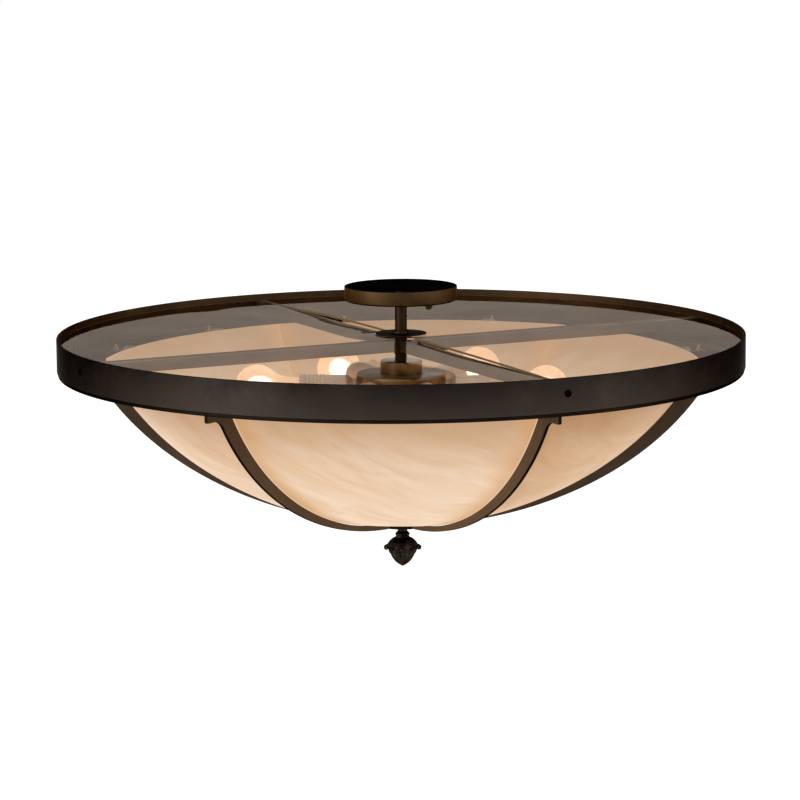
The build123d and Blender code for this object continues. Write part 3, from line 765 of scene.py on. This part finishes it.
def round_stem(name, mesh, count, finish, start=first_side):
    """Copies of a mesh round the stem's axis in one mesh, the first at the start angle."""
    return grown(name, mesh, copies, count=count, start_angle=math.radians(start), finish=finish)


def rolled_bar(name, outline, radius, finish):
    """Ring of a given section, whose outline is (distance outwards from the radius, height)."""
    mesh = bpy.data.meshes.new(name)
    count = len(outline)
    # The sweep along the circle turns the section's Y axis downwards
    mesh.from_pydata([(x, -y, 0) for x, y in outline], [(i, (i + 1) % count) for i in range(count)], [])
    made = grown(name, mesh, rolled, radius=radius, segments=256, finish=finish)
    bm = bmesh.new()
    bm.from_mesh(made)
    return mesh_from(bm, name)


# Ring, seat plate and ribs

def make_ring():
    """Rolled flat bar with eased edges, and the thin seat plate under it."""
    ease = 0.8 * mm
    section = bar_section(ring_inner - ring_radius, 0, band_bottom, ring_top, ease)
    mesh = rolled_bar("ring_band", section, ring_radius, ring_bronze)
    # Faces towards the stem take the warmer copy: painted light of the bowl on the inner wall
    for face in mesh.polygons:
        inner_face_painted_light = face.normal.xy.dot(face.center.xy) < -0.5 * ring_inner
        face.material_index = 1 if inner_face_painted_light else 0
    piece("rolled_ring", mesh, [ring_bronze, bowl_lit_bronze], "frame", "bronze", "ring_band")
    section = bar_section(seat_inner - seat_radius, 0, seat_bottom, band_bottom, ease)
    # The seat plate takes the near black copy: painted shade under the ring
    mesh = rolled_bar("seat_plate", section, seat_radius, shaded_bronze)
    piece("seat_ring", mesh, shaded_bronze, "frame", "bronze", "seat_plate")


def rib_edge(a, b, centre, end):
    """Points along the lower half of an ellipse, from the ribs' start out to a radius."""
    steps = 48
    points = []
    for i in range(steps + 1):
        radius = rib_start + (end - rib_start) * math.sin(i / steps * math.pi / 2)
        points.append((radius, ellipse_level(a, b, centre, radius)))
    return points


def make_ribs():
    """Tapered plate ribs between two ellipses, with a tab under the seat plate."""
    tab_height = 13.2 * mm
    tab_nose = 2.5 * mm
    tab_bottom = seat_bottom - tab_height
    curve_end = tab_bottom - tab_fillet * 0.55
    outer = rib_edge(rib_a, rib_b, rib_centre, ellipse_radius(rib_a, rib_b, rib_centre, curve_end))
    crook = rounded_outline((
        (*outer[-1], 0),
        (ellipse_radius(rib_a, rib_b, rib_centre, tab_bottom), tab_bottom, tab_fillet),
        (tab_end, tab_bottom, tab_nose),
        (tab_end, seat_bottom, 0),
    ), 6)
    inner_a = panel_a + seat_clearance
    inner_b = panel_b + rib_belly_gap
    top = ellipse_radius(inner_a, inner_b, panel_centre, seat_bottom)
    inner = rib_edge(inner_a, inner_b, panel_centre, top)
    half = rib_thickness / 2
    flat = plate("rib", outer + crook[1:] + inner[::-1], -half, half, 0.5 * mm)
    # The rib's narrow edges take the near black copy: painted shade
    for face in flat.polygons:
        wide_face = abs(face.normal.z) > 0.9
        face.material_index = 0 if wide_face else 1
    upright = placed(flat, Matrix.Rotation(math.radians(90), 4, "X"))
    round_pieces("rib_plate_%d", upright, [rib_bronze, shaded_bronze], "bronze", "rib_%d")


# Panels

def panel_radius(edge, angle):
    """Distance from the axis of a panel at an angle from its middle, where its sides have the given one.

    The panel is flatter across than the bowl is round: its section turns about an axis beyond the stem.
    """
    half_angle = math.radians(180 / side_count)
    turn = math.hypot(edge * math.cos(half_angle) + panel_flatness, edge * math.sin(half_angle))
    across = panel_flatness * math.sin(angle)
    return math.sqrt(turn ** 2 - across ** 2) - panel_flatness * math.cos(angle)


def side_radius(middle, angle):
    """Distance from the axis of a panel's sides, at the level where the panel has the given one."""
    inward = panel_flatness * math.cos(math.radians(180 / side_count))
    return math.sqrt(inward ** 2 + middle ** 2 + 2 * middle * panel_flatness * math.cos(angle)) - inward


def make_panel_mesh(index, panel_shade):
    """One gore of the bowl along +X, whose points know their place for the veins and the edges.

    Each carries where it is on the flat sheet, how far it is from the panel's side and from the axis,
    and the painted shade of its panel.
    """
    across = 44
    down = 60
    sheets_apart = 1.7
    inside_edge = 4 * mm
    half_angle = math.radians(180 / side_count)
    bm = bmesh.new()
    facts = {}
    skins = []
    for inset, further in ((0, 0), (panel_thickness, inside_edge)):
        a = panel_a - inset
        b = panel_b - inset
        first = math.asin((panel_centre - panel_rim) / b)
        rows = [[] for i in range(down + 1)]
        for j in range(across + 1):
            share = 2 * j / across - 1
            part = share * (1.5 - 0.5 * share * share)
            last = math.acos(side_radius(panel_tip, part * half_angle) / a)
            run = 0.0
            before = None
            for i in range(down + 1):
                t = first + (last - first) * i / down
                edge = a * math.cos(t)
                height = panel_centre - b * math.sin(t)
                limit = half_angle - math.asin(panel_side_gap / 2 / edge)
                angle = part * limit
                radius = panel_radius(edge, angle)
                run += math.hypot(radius - before[0], height - before[1]) if before else 0.0
                before = (radius, height)
                vert = bm.verts.new((radius * math.cos(angle), radius * math.sin(angle), height))
                from_side = (limit - abs(angle)) * radius + further
                facts[vert] = ((radius * angle, run, index * sheets_apart), from_side, radius, panel_shade)
                rows[i].append(vert)
        skins.append(rows)
    fill_sheet(bm, *skins)
    bm.verts.index_update()
    values = [facts[v] for v in bm.verts]
    mesh = mesh_from(bm, "panel")
    sheet = mesh.attributes.new("sheet", "FLOAT_VECTOR", "POINT")
    sheet.data.foreach_set("vector", [c for value in values for c in value[0]])
    for label, place in (("edge", 1), ("reach", 2), ("batch", 3)):
        made = mesh.attributes.new(label, "FLOAT", "POINT")
        made.data.foreach_set("value", [value[place] for value in values])
    return mesh


def make_panels():
    """Six panels between the ribs, each with its own run of veins."""
    # Painted shade of each panel, from none to full
    painted_panel_shades = (1.0, 0.2, 0.35, 0.0, 0.45, 0.0)
    for i, panel_shade in enumerate(painted_panel_shades, 1):
        mesh = placed(make_panel_mesh(i, panel_shade), turn_z(side_angle(i) + 180 / side_count))
        shade(mesh, 40)
        piece("bowl_panel_%d" % i, mesh, alabaster, "frame", "alabaster", "panel_%d" % i)


# Cross bars and cover

def make_cross_bars():
    """Square tubes with rolled corners, welded to the stem."""
    half = bar_width / 2
    corner = 1.6 * mm
    end_ease = 0.4 * mm
    reach = -lowest("cross_bar_1").y
    start = nearest_to_axis("cross_bar_1")
    bar = plate("bar", bar_section(-half, half, -half, half, corner), start, reach, end_ease)
    # The bars take the lighter copy: painted light of the bowl
    round_pieces("square_bar_%d", placed(bar, lying(bar_middle)), lit_bar_bronze, "bronze", "cross_bar_%d",
                 bar_count)


def cover_level(side, x, y, even):
    """Level of the sheet's upper face, which the photograph shows bow away from its even crown.

    Towards the seam the left half sags, though not below its rim, and the right half rises a little,
    more behind the stem than before it.
    """
    bow_width = 170 * mm
    sag = 4.2 * mm
    sag_start = 30 * mm
    beyond_washer = math.hypot(x, y) - washer_radius
    near_seam = max(0.0, 1 - abs(x) / bow_width) ** 2
    if side < 0:
        share = min(1.0, max(0.0, beyond_washer / sag_start))
        return max(even - sag * near_seam * share, cover_rim_bottom + cover_thickness)
    behind = min(1.0, max(-1.0, y / (60 * mm)))
    rise = (1.45 + 0.55 * behind) * mm
    bow_end = (350 if y > 0 else 453) * mm
    bow = math.sin(math.pi * min(1.0, max(0.0, beyond_washer / (bow_end - washer_radius))))
    return even + rise * bow * near_seam


def make_cover(side, name, node):
    """One half of the crowned clear sheet."""
    rings = 48
    spokes = 72
    hole = nearest_to_axis(node)
    rim_top = cover_rim_bottom + cover_thickness
    bm = bmesh.new()
    skins = []
    for drop in (0, cover_thickness):
        rows = []
        for i in range(rings + 1):
            radius = hole + (cover_radius - hole) * i / rings
            limit = math.acos(min(1.0, cover_seam / 2 / radius))
            even = rim_top + (cover_top - rim_top) * (1 - (radius - hole) / (cover_radius - hole))
            row = []
            for j in range(spokes + 1):
                angle = limit * (2 * j / spokes - 1)
                x = side * radius * math.cos(angle)
                y = radius * math.sin(angle)
                row.append(bm.verts.new((x, y, cover_level(side, x, y, even) - drop)))
            rows.append(row)
        skins.append(rows)
    # The sawn edges take the edge finish with its painted glow
    fill_sheet(bm, *skins, 1)
    piece(name, mesh_from(bm, name), [clear, clear_edge_glow], "cover", "clear", node)


def make_washer():
    """Dished check washer with a raised collar."""
    low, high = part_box("cover_washer")
    bore = nearest_to_axis("cover_washer")
    thick = 1.2 * mm
    dish = 0.4 * mm
    collar = 10.5 * mm
    outline = rounded_outline((
        (bore, low.z, 0), (washer_radius - thick, low.z, 0.3 * mm),
        (washer_radius, low.z + dish, 0.15 * mm), (washer_radius, low.z + dish + thick * 0.6, 0.2 * mm),
        (washer_radius - thick, low.z + thick, 0.3 * mm), (collar, low.z + thick, 0.6 * mm),
        (collar, high.z, 0.8 * mm), (bore, high.z, 0.3 * mm),
    ))
    piece("check_washer", turned("washer", outline), bronze, "cover", "bronze", "cover_washer")


# Stem, canopy and what holds them

def make_stem():
    """Round tube with a ring of weld where the cross bars meet it."""
    low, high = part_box("stem")
    bore = nearest_to_axis("stem")
    ease = 0.4 * mm
    outline = rounded_outline((
        (bore, low.z, 0), (stem_radius, low.z, ease), (stem_radius, high.z, ease), (bore, high.z, 0),
    ))
    piece("stem_tube", turned("stem", outline, 64), bronze, "frame", "bronze", "stem")
    root = stem_radius * 0.98
    weld_top = bar_bottom - 0.4 * mm
    ripples = 36
    bead = turned("weld", rounded_outline((
        (root, weld_top, 0), (stem_radius + 3.2 * mm, weld_top, 1.0 * mm), (root, bar_bottom - 4.0 * mm, 0),
    )), 72, lambda angle, height: 1 + 0.02 * math.sin(ripples * angle))
    piece("stem_weld", bead, bronze, "frame", "bronze")


def make_canopy():
    """Spun pan with a soft corner and a turned-in rim."""
    low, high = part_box("canopy")
    radius = high.x
    wall = 1.2 * mm
    hole = nearest_to_axis("canopy")
    corner = 3.4 * mm
    outline = rounded_outline((
        (hole, low.z, 0.3 * mm), (radius, low.z, corner), (radius, high.z, wall * 0.45),
        (radius - wall, high.z, wall * 0.45), (radius - wall, low.z + wall, corner - wall),
        (hole, low.z + wall, 0.3 * mm),
    ), 6)
    mesh = turned("canopy", outline, 128)
    for face in mesh.polygons:
        # Inner faces take the near black steel: painted shade inside the pan
        inside = face.center.xy.length < radius - wall / 2 and face.center.z > low.z + wall / 2
        face.material_index = 1 if inside else 0
    piece("spun_canopy", mesh, [canopy_bronze, blackened], "canopy", "bronze", "canopy")


def make_canopy_nuts():
    """Two domed nuts with a knurled side and a blind bore."""
    bore = 2.1 * mm
    bore_depth = 6.0 * mm
    ease = 0.6 * mm
    knurls = 24
    steps = 8
    for i in (1, 2):
        node = "canopy_nut_%d" % i
        low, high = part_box(node)
        centre = (low + high) / 2
        size = (high.x - low.x) / 2
        dome = [(0, low.z)]
        for k in range(1, steps + 1):
            angle = math.pi / 2 * k / steps
            dome.append((size * math.sin(angle), low.z + size * (1 - math.cos(angle))))
        dome += [
            (size, high.z - ease), (size - ease, high.z), (bore, high.z),
            (bore, high.z - bore_depth), (0, high.z - bore_depth),
        ]
        knurled = turned(node, dome, 96, lambda angle, height: 1 + 0.025 * math.cos(knurls * angle))
        mesh = placed(knurled, Matrix.Translation((centre.x, centre.y, 0)))
        piece("knurled_nut_%d" % i, mesh, canopy_bronze, node, "bronze", node)


# Lamp cluster

def make_cluster():
    """Spun cup on a wider round box, closed by a lid."""
    wall = 1.5 * mm
    bore = nearest_to_axis("cluster_cap")
    for name, corner, node in (
        ("cluster_cup", 2.4 * mm, "cluster_cap"), ("cluster_box", 3.0 * mm, "cluster_body"),
    ):
        low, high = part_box(node)
        radius = high.x
        outline = rounded_outline((
            (radius - wall, low.z, 0), (radius, low.z, 0.3 * mm), (radius, high.z, corner),
            (bore, high.z, 0), (bore, high.z - wall, 0), (radius - wall, high.z - wall, corner / 2),
        ), 6)
        piece(name, turned(name, outline), brass, "frame", "antique_brass", node)
    low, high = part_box("cluster_lid")
    outline = rounded_outline((
        (bore, low.z, 0), (radius, low.z, 0.8 * mm), (radius, high.z, 0.3 * mm), (bore, high.z, 0),
    ))
    piece("cluster_cover", turned("lid", outline), brass, "frame", "antique_brass", "cluster_lid")


def make_sockets():
    """Moulded holders: a rounded shoulder, grip rings and a collar at the mouth."""
    low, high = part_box("socket_1")
    start = -high.y
    collar = (high.x - low.x) / 2
    sleeve = collar - 0.9 * mm
    grip = sleeve + 0.7 * mm
    neck = 11.5 * mm
    bore = 13.3 * mm
    floor = socket_mouth - 28.8 * mm
    first_ring = socket_mouth - 34 * mm
    ring_pitch = 4.8 * mm
    ring = 3.6 * mm
    corners = [
        (0, start, 0), (neck, start, 0.5 * mm), (neck, start + 11 * mm, 2.0 * mm),
        (sleeve, start + 18 * mm, 7.0 * mm),
    ]
    for i in range(5):
        at = first_ring + i * ring_pitch
        corners += [
            (sleeve, at, 0.3 * mm), (grip, at + ring * 0.25, 0.5 * mm),
            (grip, at + ring * 0.75, 0.5 * mm), (sleeve, at + ring, 0.3 * mm),
        ]
    corners += [
        (sleeve, socket_mouth - 9 * mm, 0.3 * mm), (collar, socket_mouth - 8 * mm, 0.5 * mm),
        (collar, socket_mouth, 0.9 * mm), (bore, socket_mouth, 0.5 * mm), (bore, floor, 0), (0, floor, 0),
    ]
    holder = placed(turned("socket", rounded_outline(corners, 3), 64), lying(socket_level))
    round_pieces("lamp_holder_%d", holder, ivory, "socket_ivory", "socket_%d")


def bulb_outline():
    """Outline of the glass from the socket's mouth on: a neck, a hollow and a round globe, all tangent."""
    neck = 13.4 * mm
    straight = socket_mouth + 10.0 * mm
    hollow_steps = 8
    globe_steps = 22
    middle = lamp_end - lamp_radius
    gap = middle - straight
    arc = (gap ** 2 + neck ** 2 - lamp_radius ** 2) / (2 * (lamp_radius - neck))
    lean = math.atan2(gap, neck + arc)
    points = [(0, socket_mouth), (neck, socket_mouth), (neck, straight)]
    for k in range(1, hollow_steps + 1):
        angle = lean * k / hollow_steps
        points.append((neck + arc - arc * math.cos(angle), straight + arc * math.sin(angle)))
    for k in range(1, globe_steps + 1):
        angle = (math.pi / 2 + lean) * k / globe_steps - lean
        points.append((lamp_radius * math.cos(angle), middle + lamp_radius * math.sin(angle)))
    return points


def make_lamps():
    """Etched glass bulb with a bright heart, and a threaded base."""
    glass = placed(turned("glass", bulb_outline(), 64), lying(socket_level))
    size = 17.0 * mm
    half_length = 1.25 * size
    middle = lamp_end - lamp_radius - 3 * mm
    steps = 20
    ball = []
    for k in range(steps + 1):
        angle = math.pi * k / steps
        ball.append((size * math.sin(angle), middle - half_length * math.cos(angle)))
    core = placed(turned("heart", ball, 48), lying(socket_level))
    low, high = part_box("lamp_base_1")
    start = -high.y
    radius = (high.x - low.x) / 2
    contact = 4.8 * mm
    shell = radius - 1.0 * mm
    base = turned("base", rounded_outline((
        (0, start, 0), (contact, start, 1.0 * mm), (contact, start + 1.5 * mm, 0.3 * mm),
        (radius - 3.0 * mm, start + 4.0 * mm, 0.4 * mm), (shell, start + 6.5 * mm, 0.5 * mm),
        (shell, socket_mouth, 0), (0, socket_mouth, 0),
    )), 64)
    thread = grown(
        "thread", bpy.data.meshes.new("thread"), threads,
        radius=radius - 1.1 * mm, height=15.5 * mm, turns=4.4, crest=1.0 * mm, finish=nickel,
    )
    thread.transform(Matrix.Translation((0, 0, start + 8.0 * mm)))
    shade(thread)
    screw = placed(joined("screw_base", [base, thread]), lying(socket_level))
    for i in range(1, side_count + 1):
        for label, mesh, finish, slot, replaced in (
            ("lamp_glass_%d", glass, frosted, "frosted", ["lamp_globe_%d" % i]),
            ("lamp_heart_%d", core, heart, "frosted", []),
            ("lamp_screw_%d", screw, nickel, "lamp_metal", ["lamp_base_%d" % i]),
        ):
            copy = placed(mesh, turn_z(side_angle(i)))
            piece(label % i, copy, finish, "lamp_%d" % i, slot, *replaced)


# Finial

def smooth_path(points, steps):
    """Points on a smooth curve through the given ones."""
    made = []
    last = len(points) - 1
    for i in range(last):
        a, b = Vector(points[max(0, i - 1)]), Vector(points[i])
        c, d = Vector(points[i + 1]), Vector(points[min(last, i + 2)])
        for k in range(steps):
            t = k / steps
            made.append(0.5 * (2 * b + (c - a) * t + (2 * a - 5 * b + 4 * c - d) * t ** 2
                               + (3 * b - a - 3 * c + d) * t ** 3))
    made.append(Vector(points[-1]))
    return made


def make_leaf(level, course, rib_height, thickness):
    """Leaf along +X, wrapped round the axis, with a raised midrib and edges.

    Its course is given in millimetres, as (radius, height over the level, width) points.
    """
    across = 8
    bm = bmesh.new()
    rows = []
    line = smooth_path([(r * mm, level + z * mm, width * mm) for r, z, width in course], 5)
    for k, (radius, height, width) in enumerate(line):
        lobe = 1 + 0.10 * math.sin(k * 1.3)
        before = line[max(0, k - 1)]
        after = line[min(len(line) - 1, k + 1)]
        along = Vector((after[0] - before[0], after[1] - before[1])).normalized()
        outward = Vector((-along.y, along.x))
        row = []
        for j in range(across + 1):
            share = 2 * j / across - 1
            rise = rib_height * (1 - min(1.0, abs(share) * 2.2)) + rib_height * 0.8 * abs(share) ** 3
            r = radius + outward.x * rise
            z = height + outward.y * rise
            angle = share * width * lobe / 2 / max(radius, 1 * mm)
            row.append(bm.verts.new((r * math.cos(angle), r * math.sin(angle), z)))
        rows.append(row)
    fill_rows(bm, rows)
    leaf = object_of("leaf", mesh_from(bm, "leaf"))
    thick = leaf.modifiers.new("thickness", "SOLIDIFY")
    thick.thickness = thickness
    thick.offset = 0.0
    soft = leaf.modifiers.new("soft", "SUBSURF")
    soft.levels = 1
    soft.render_levels = 1
    return evaluated(leaf)


def make_acorn(profile, cup_level):
    """Fluted acorn under a smooth cup, from the lower body's (radius, height) profile in millimetres."""
    flutes = 14
    flute_depth = 0.13
    shoulder = 7.5 * mm
    cup_steps = 10
    outline = [(p.x * mm, acorn_tip + p.y * mm) for p in smooth_path(profile, 5)]
    body_radius = outline[-1][0]
    for k in range(1, cup_steps + 1):
        angle = math.pi / 2 * k / cup_steps
        outline.append((body_radius - (body_radius - shoulder) * (1 - math.cos(angle)),
                        cup_level + (acorn_top - cup_level) * math.sin(angle)))
    outline.append((0, acorn_top))

    def fluted(angle, height):
        """Hollows between ridges, deepest half way down the lower body."""
        share = (cup_level - height) / (cup_level - acorn_tip)
        if share <= 0 or share >= 1:
            return 1.0
        depth = flute_depth * math.sin(math.pi * share ** 0.8) ** 0.7
        return 1 - depth * (1 - abs(math.cos(flutes / 2 * (angle + math.pi / flutes))) ** 0.7)

    return turned("acorn", outline, 216, fluted)


def make_finial():
    """Cast acorn: fluted body, and a cup of curled leaves with plain ones between them."""
    profile = [(0, 0), (4.4, 2.4), (8.2, 5.2), (11.4, 8.4), (15.0, 13.8), (17.2, 19.4), (18.0, 25.0)]
    level = acorn_tip + profile[-1][1] * mm
    curled = make_leaf(level, (
        (8.4, 14.0, 6.0), (12.6, 12.2, 8.5), (16.4, 8.8, 10.5), (18.6, 5.4, 10.0), (20.4, 3.6, 7.4),
        (22.4, 3.9, 6.4),
    ), 0.9 * mm, 1.9 * mm)
    plain = make_leaf(level, (
        (8.2, 13.4, 4.0), (12.6, 11.6, 6.0), (16.2, 8.2, 7.5), (18.2, 4.0, 7.6), (18.7, -0.5, 6.4),
        (18.4, -3.6, 4.0), (17.9, -5.6, 1.2),
    ), 0.7 * mm, 1.4 * mm)
    roll_radius = 3.5 * mm
    roll_end = 3.6 * mm
    end_radius = roll_radius * 0.55
    belly = roll_end * 0.45
    roll = turned("roll", rounded_outline((
        (0, -roll_end, 0), (end_radius, -roll_end, 0.5 * mm), (roll_radius, -belly, 1.2 * mm),
        (roll_radius, belly, 1.2 * mm), (end_radius, roll_end, 0.5 * mm), (0, roll_end, 0),
    )), 28)
    crosswise = Matrix.Rotation(math.radians(90), 4, "X")
    roll.transform(Matrix.Translation((21.9 * mm, 0, level + 0.9 * mm)) @ crosswise)
    mesh = joined("acorn", [
        make_acorn(profile, level),
        round_stem("leaves", joined("leaf", [curled, roll]), leaf_count, finial_bronze, first_leaf),
        round_stem("small_leaves", plain, leaf_count, finial_bronze, first_leaf + 180 / leaf_count),
    ])
    shade(mesh, 45)
    piece("acorn_finial", mesh, finial_bronze, "finial", "finial_bronze", "finial")


def make_finial_neck():
    """Turned neck with a bead and a collar above the acorn's cup."""
    low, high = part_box("finial_neck")
    bore = nearest_to_axis("finial_neck")
    lip = 7.6 * mm
    mouldings = [(radius * mm, low.z + height * mm, corner * mm) for radius, height, corner in (
        (8.6, 0.0, 0.8), (9.4, 2.2, 1.0), (8.3, 3.1, 0.3), (10.0, 4.4, 0.5), (9.6, 5.8, 0.5),
        (6.3, 9.4, 1.5), (6.3, 13.2, 1.0),
    )]
    neck = turned("neck", rounded_outline([
        (bore, low.z, 0), *mouldings, (lip, high.z - 1.2 * mm, 0.6 * mm), (lip, high.z, 0.3 * mm),
        (bore, high.z, 0),
    ]), 72)
    piece("turned_neck", neck, finial_bronze, "finial", "finial_bronze", "finial_neck")


# Fasteners

def button_screw(head, height, socket_width, socket_depth):
    """Button head with a hexagon recess, on Z with its seat at z = 0."""
    steps = 30
    bm = bmesh.new()

    def ring(level, reach):
        """Closed row of points at a level, reach(angle) away from the axis."""
        angles = [math.tau * i / steps for i in range(steps)]
        return [bm.verts.new((reach(a) * math.cos(a), reach(a) * math.sin(a), level)) for a in angles]

    def hexagon(angle):
        """Distance from the axis to the recess's side."""
        sector = (angle + math.pi / 6) % (math.pi / 3) - math.pi / 6
        return socket_width / 2 / math.cos(sector)

    dome = ((1.0, 0.0), (1.0, 0.35), (0.93, 0.7), (0.62, 1.0))
    rings = [ring(height * up, lambda angle: head * wide) for wide, up in dome]
    rings += [ring(height, hexagon), ring(height - socket_depth, hexagon)]
    join_rings(bm, rings)
    bm.faces.new(rings[0][::-1])
    bm.faces.new(rings[-1])
    return mesh_from(bm, "screw")


def make_fasteners():
    """Button screws: in the ring at each bar's end, and in the seat plate over each rib's tab."""
    height = highest("bar_screws").x - ring_radius
    screw = placed(button_screw(4.6 * mm, height, 4.2 * mm, 1.4 * mm), lying(bar_middle, ring_radius))
    mesh = round_stem("bar_screws", screw, bar_count, blackened)
    piece("ring_screws", mesh, blackened, "frame", "bronze", "bar_screws")
    high = highest("rib_screws")
    head = 3.0 * mm
    screw = placed(button_screw(head, high.z - band_bottom, 2.4 * mm, 1.0 * mm),
                   Matrix.Translation((high.y - head, 0, band_bottom)))
    # The seat screws take the near black bronze: painted shade
    mesh = round_stem("rib_screws", screw, side_count, shaded_bronze)
    piece("seat_screws", mesh, shaded_bronze, "frame", "zinc", "rib_screws")


def make_carried_over():
    """CAD nodes whose shape stands, with new finishes; the bottom plate's near black is painted shade."""
    for names, finish in (
        (("panel_clips",), clip_plastic),
        (("clip_screws",), pin_brass),
        # Near black for the parts inside the canopy: their black oxide, and painted shade of the pan
        (("threaded_pipe", "pipe_nuts", "mounting_strap", "canopy_studs"), blackened),
        (("clamp_disc", "finial_stud", "finial_nut"), nickel),
        # The bottom plate's near black bronze is painted shade
        (("bottom_plate",), shaded_bronze),
    ):
        for name in names:
            for slot in nodes[name].material_slots:
                slot.material = finish


# Camera, light and floor

def make_camera():
    """Camera where the photograph was taken, found from the ring's rims, the ribs' feet and the finial."""
    azimuth = math.radians(camera_azimuth)
    elevation = math.radians(9.06)
    roll = math.radians(-0.438)
    distance = 4.8386
    aside = -2.0 * mm
    level = -153.9 * mm
    right = Vector((math.cos(azimuth), math.sin(azimuth), 0))
    back = Vector((math.sin(azimuth) * math.cos(elevation), -math.cos(azimuth) * math.cos(elevation),
                   math.sin(elevation)))
    up = back.cross(right)
    across = right * math.cos(roll) + up * math.sin(roll)
    upward = up * math.cos(roll) - right * math.sin(roll)
    data = bpy.data.cameras.new("camera")
    data.lens = 163.1
    data.sensor_width = 36.0
    data.clip_end = 200.0
    camera = bpy.data.objects.new("camera", data)
    bpy.context.scene.collection.objects.link(camera)
    turn = Matrix((across, upward, back)).transposed().to_4x4()
    camera.matrix_world = Matrix.Translation(right * aside + Vector((0, 0, level)) + back * distance) @ turn
    bpy.context.scene.camera = camera


def seen_directly(tree):
    """1 for camera, glossy and transmission rays, 0 for the rays that light the object."""
    path = add(tree, "ShaderNodeLightPath").node.outputs
    some = add(tree, "ShaderNodeMath", {"operation": "MAXIMUM"}, {
        0: path["Is Camera Ray"], 1: path["Is Glossy Ray"],
    })
    return add(tree, "ShaderNodeMath", {"operation": "MAXIMUM"}, {0: some, 1: path["Is Transmission Ray"]})


def make_world():
    """White surroundings for the eye and a plain soft light for the object."""
    world = bpy.data.worlds.new("studio")
    bpy.context.scene.world = world
    world.use_nodes = True
    tree = world.node_tree
    tree.nodes.clear()
    strength = add(tree, "ShaderNodeMapRange", inputs={
        "Value": seen_directly(tree), "To Min": 0.5, "To Max": 1.0,
    })
    sky = add(tree, "ShaderNodeBackground", inputs={"Color": (1, 1, 1, 1), "Strength": strength})
    add(tree, "ShaderNodeOutputWorld", inputs={"Surface": sky})


def make_floor():
    """Pale painted floor of a tall hall, far enough down to look at the light from below."""
    drop = -6.0
    half = 60.0
    mesh = bpy.data.meshes.new("floor")
    mesh.from_pydata([(-half, -half, drop), (half, -half, drop), (half, half, drop), (-half, half, drop)],
                     [], [(0, 1, 2, 3)])
    floor = object_of("floor", mesh)
    made, tree, place = new_finish("pale_painted_floor")
    paint = add(tree, "ShaderNodeTexNoise", inputs={"Vector": place, "Scale": per(400.0), "Detail": 2.0})
    tone = add(tree, "ShaderNodeValToRGB", inputs={"Fac": paint}, stops=((0.3, "#f4f3f1"), (0.7, "#fbfaf9")))
    shine = add(tree, "ShaderNodeMapRange", inputs={
        "Value": seen_directly(tree), "To Min": 0.0, "To Max": 0.75,
    })
    skin = add(tree, "ShaderNodeBsdfPrincipled", inputs={
        "Base Color": tone, "Roughness": 0.9, "Specular IOR Level": 0.1,
        "Emission Color": (1, 1, 1, 1), "Emission Strength": shine,
    })
    add(tree, "ShaderNodeOutputMaterial", inputs={"Surface": skin})
    mesh.materials.append(made)


def make_light(name, place, size, power):
    """Large soft area light at a place in metres, turned to the bowl."""
    aim = Vector((0, 0, -0.15))
    data = bpy.data.lights.new(name, "AREA")
    data.shape = "SQUARE"
    data.size = size
    data.energy = power
    lamp = bpy.data.objects.new(name, data)
    bpy.context.scene.collection.objects.link(lamp)
    lamp.location = place
    lamp.rotation_mode = "QUATERNION"
    lamp.rotation_quaternion = (Vector(place) - aim).to_track_quat("Z", "Y")


def make_studio():
    """Camera, surroundings, floor and two soft lights."""
    bpy.context.scene.view_settings.view_transform = "Standard"
    make_camera()
    make_world()
    make_floor()
    make_light("key_light", place=(-4.9, -0.65, 0.1), size=3.0, power=90.0)
    make_light("fill_light", place=(3.4, -3.6, 0.1), size=2.6, power=26.0)


make_studio()
make_ring()
make_ribs()
make_panels()
make_cross_bars()
make_cover(-1, "clear_cover_left", "cover_left")
make_cover(1, "clear_cover_right", "cover_right")
make_washer()
make_stem()
make_canopy()
make_canopy_nuts()
make_cluster()
make_sockets()
make_lamps()
make_finial()
make_finial_neck()
make_fasteners()
make_carried_over()
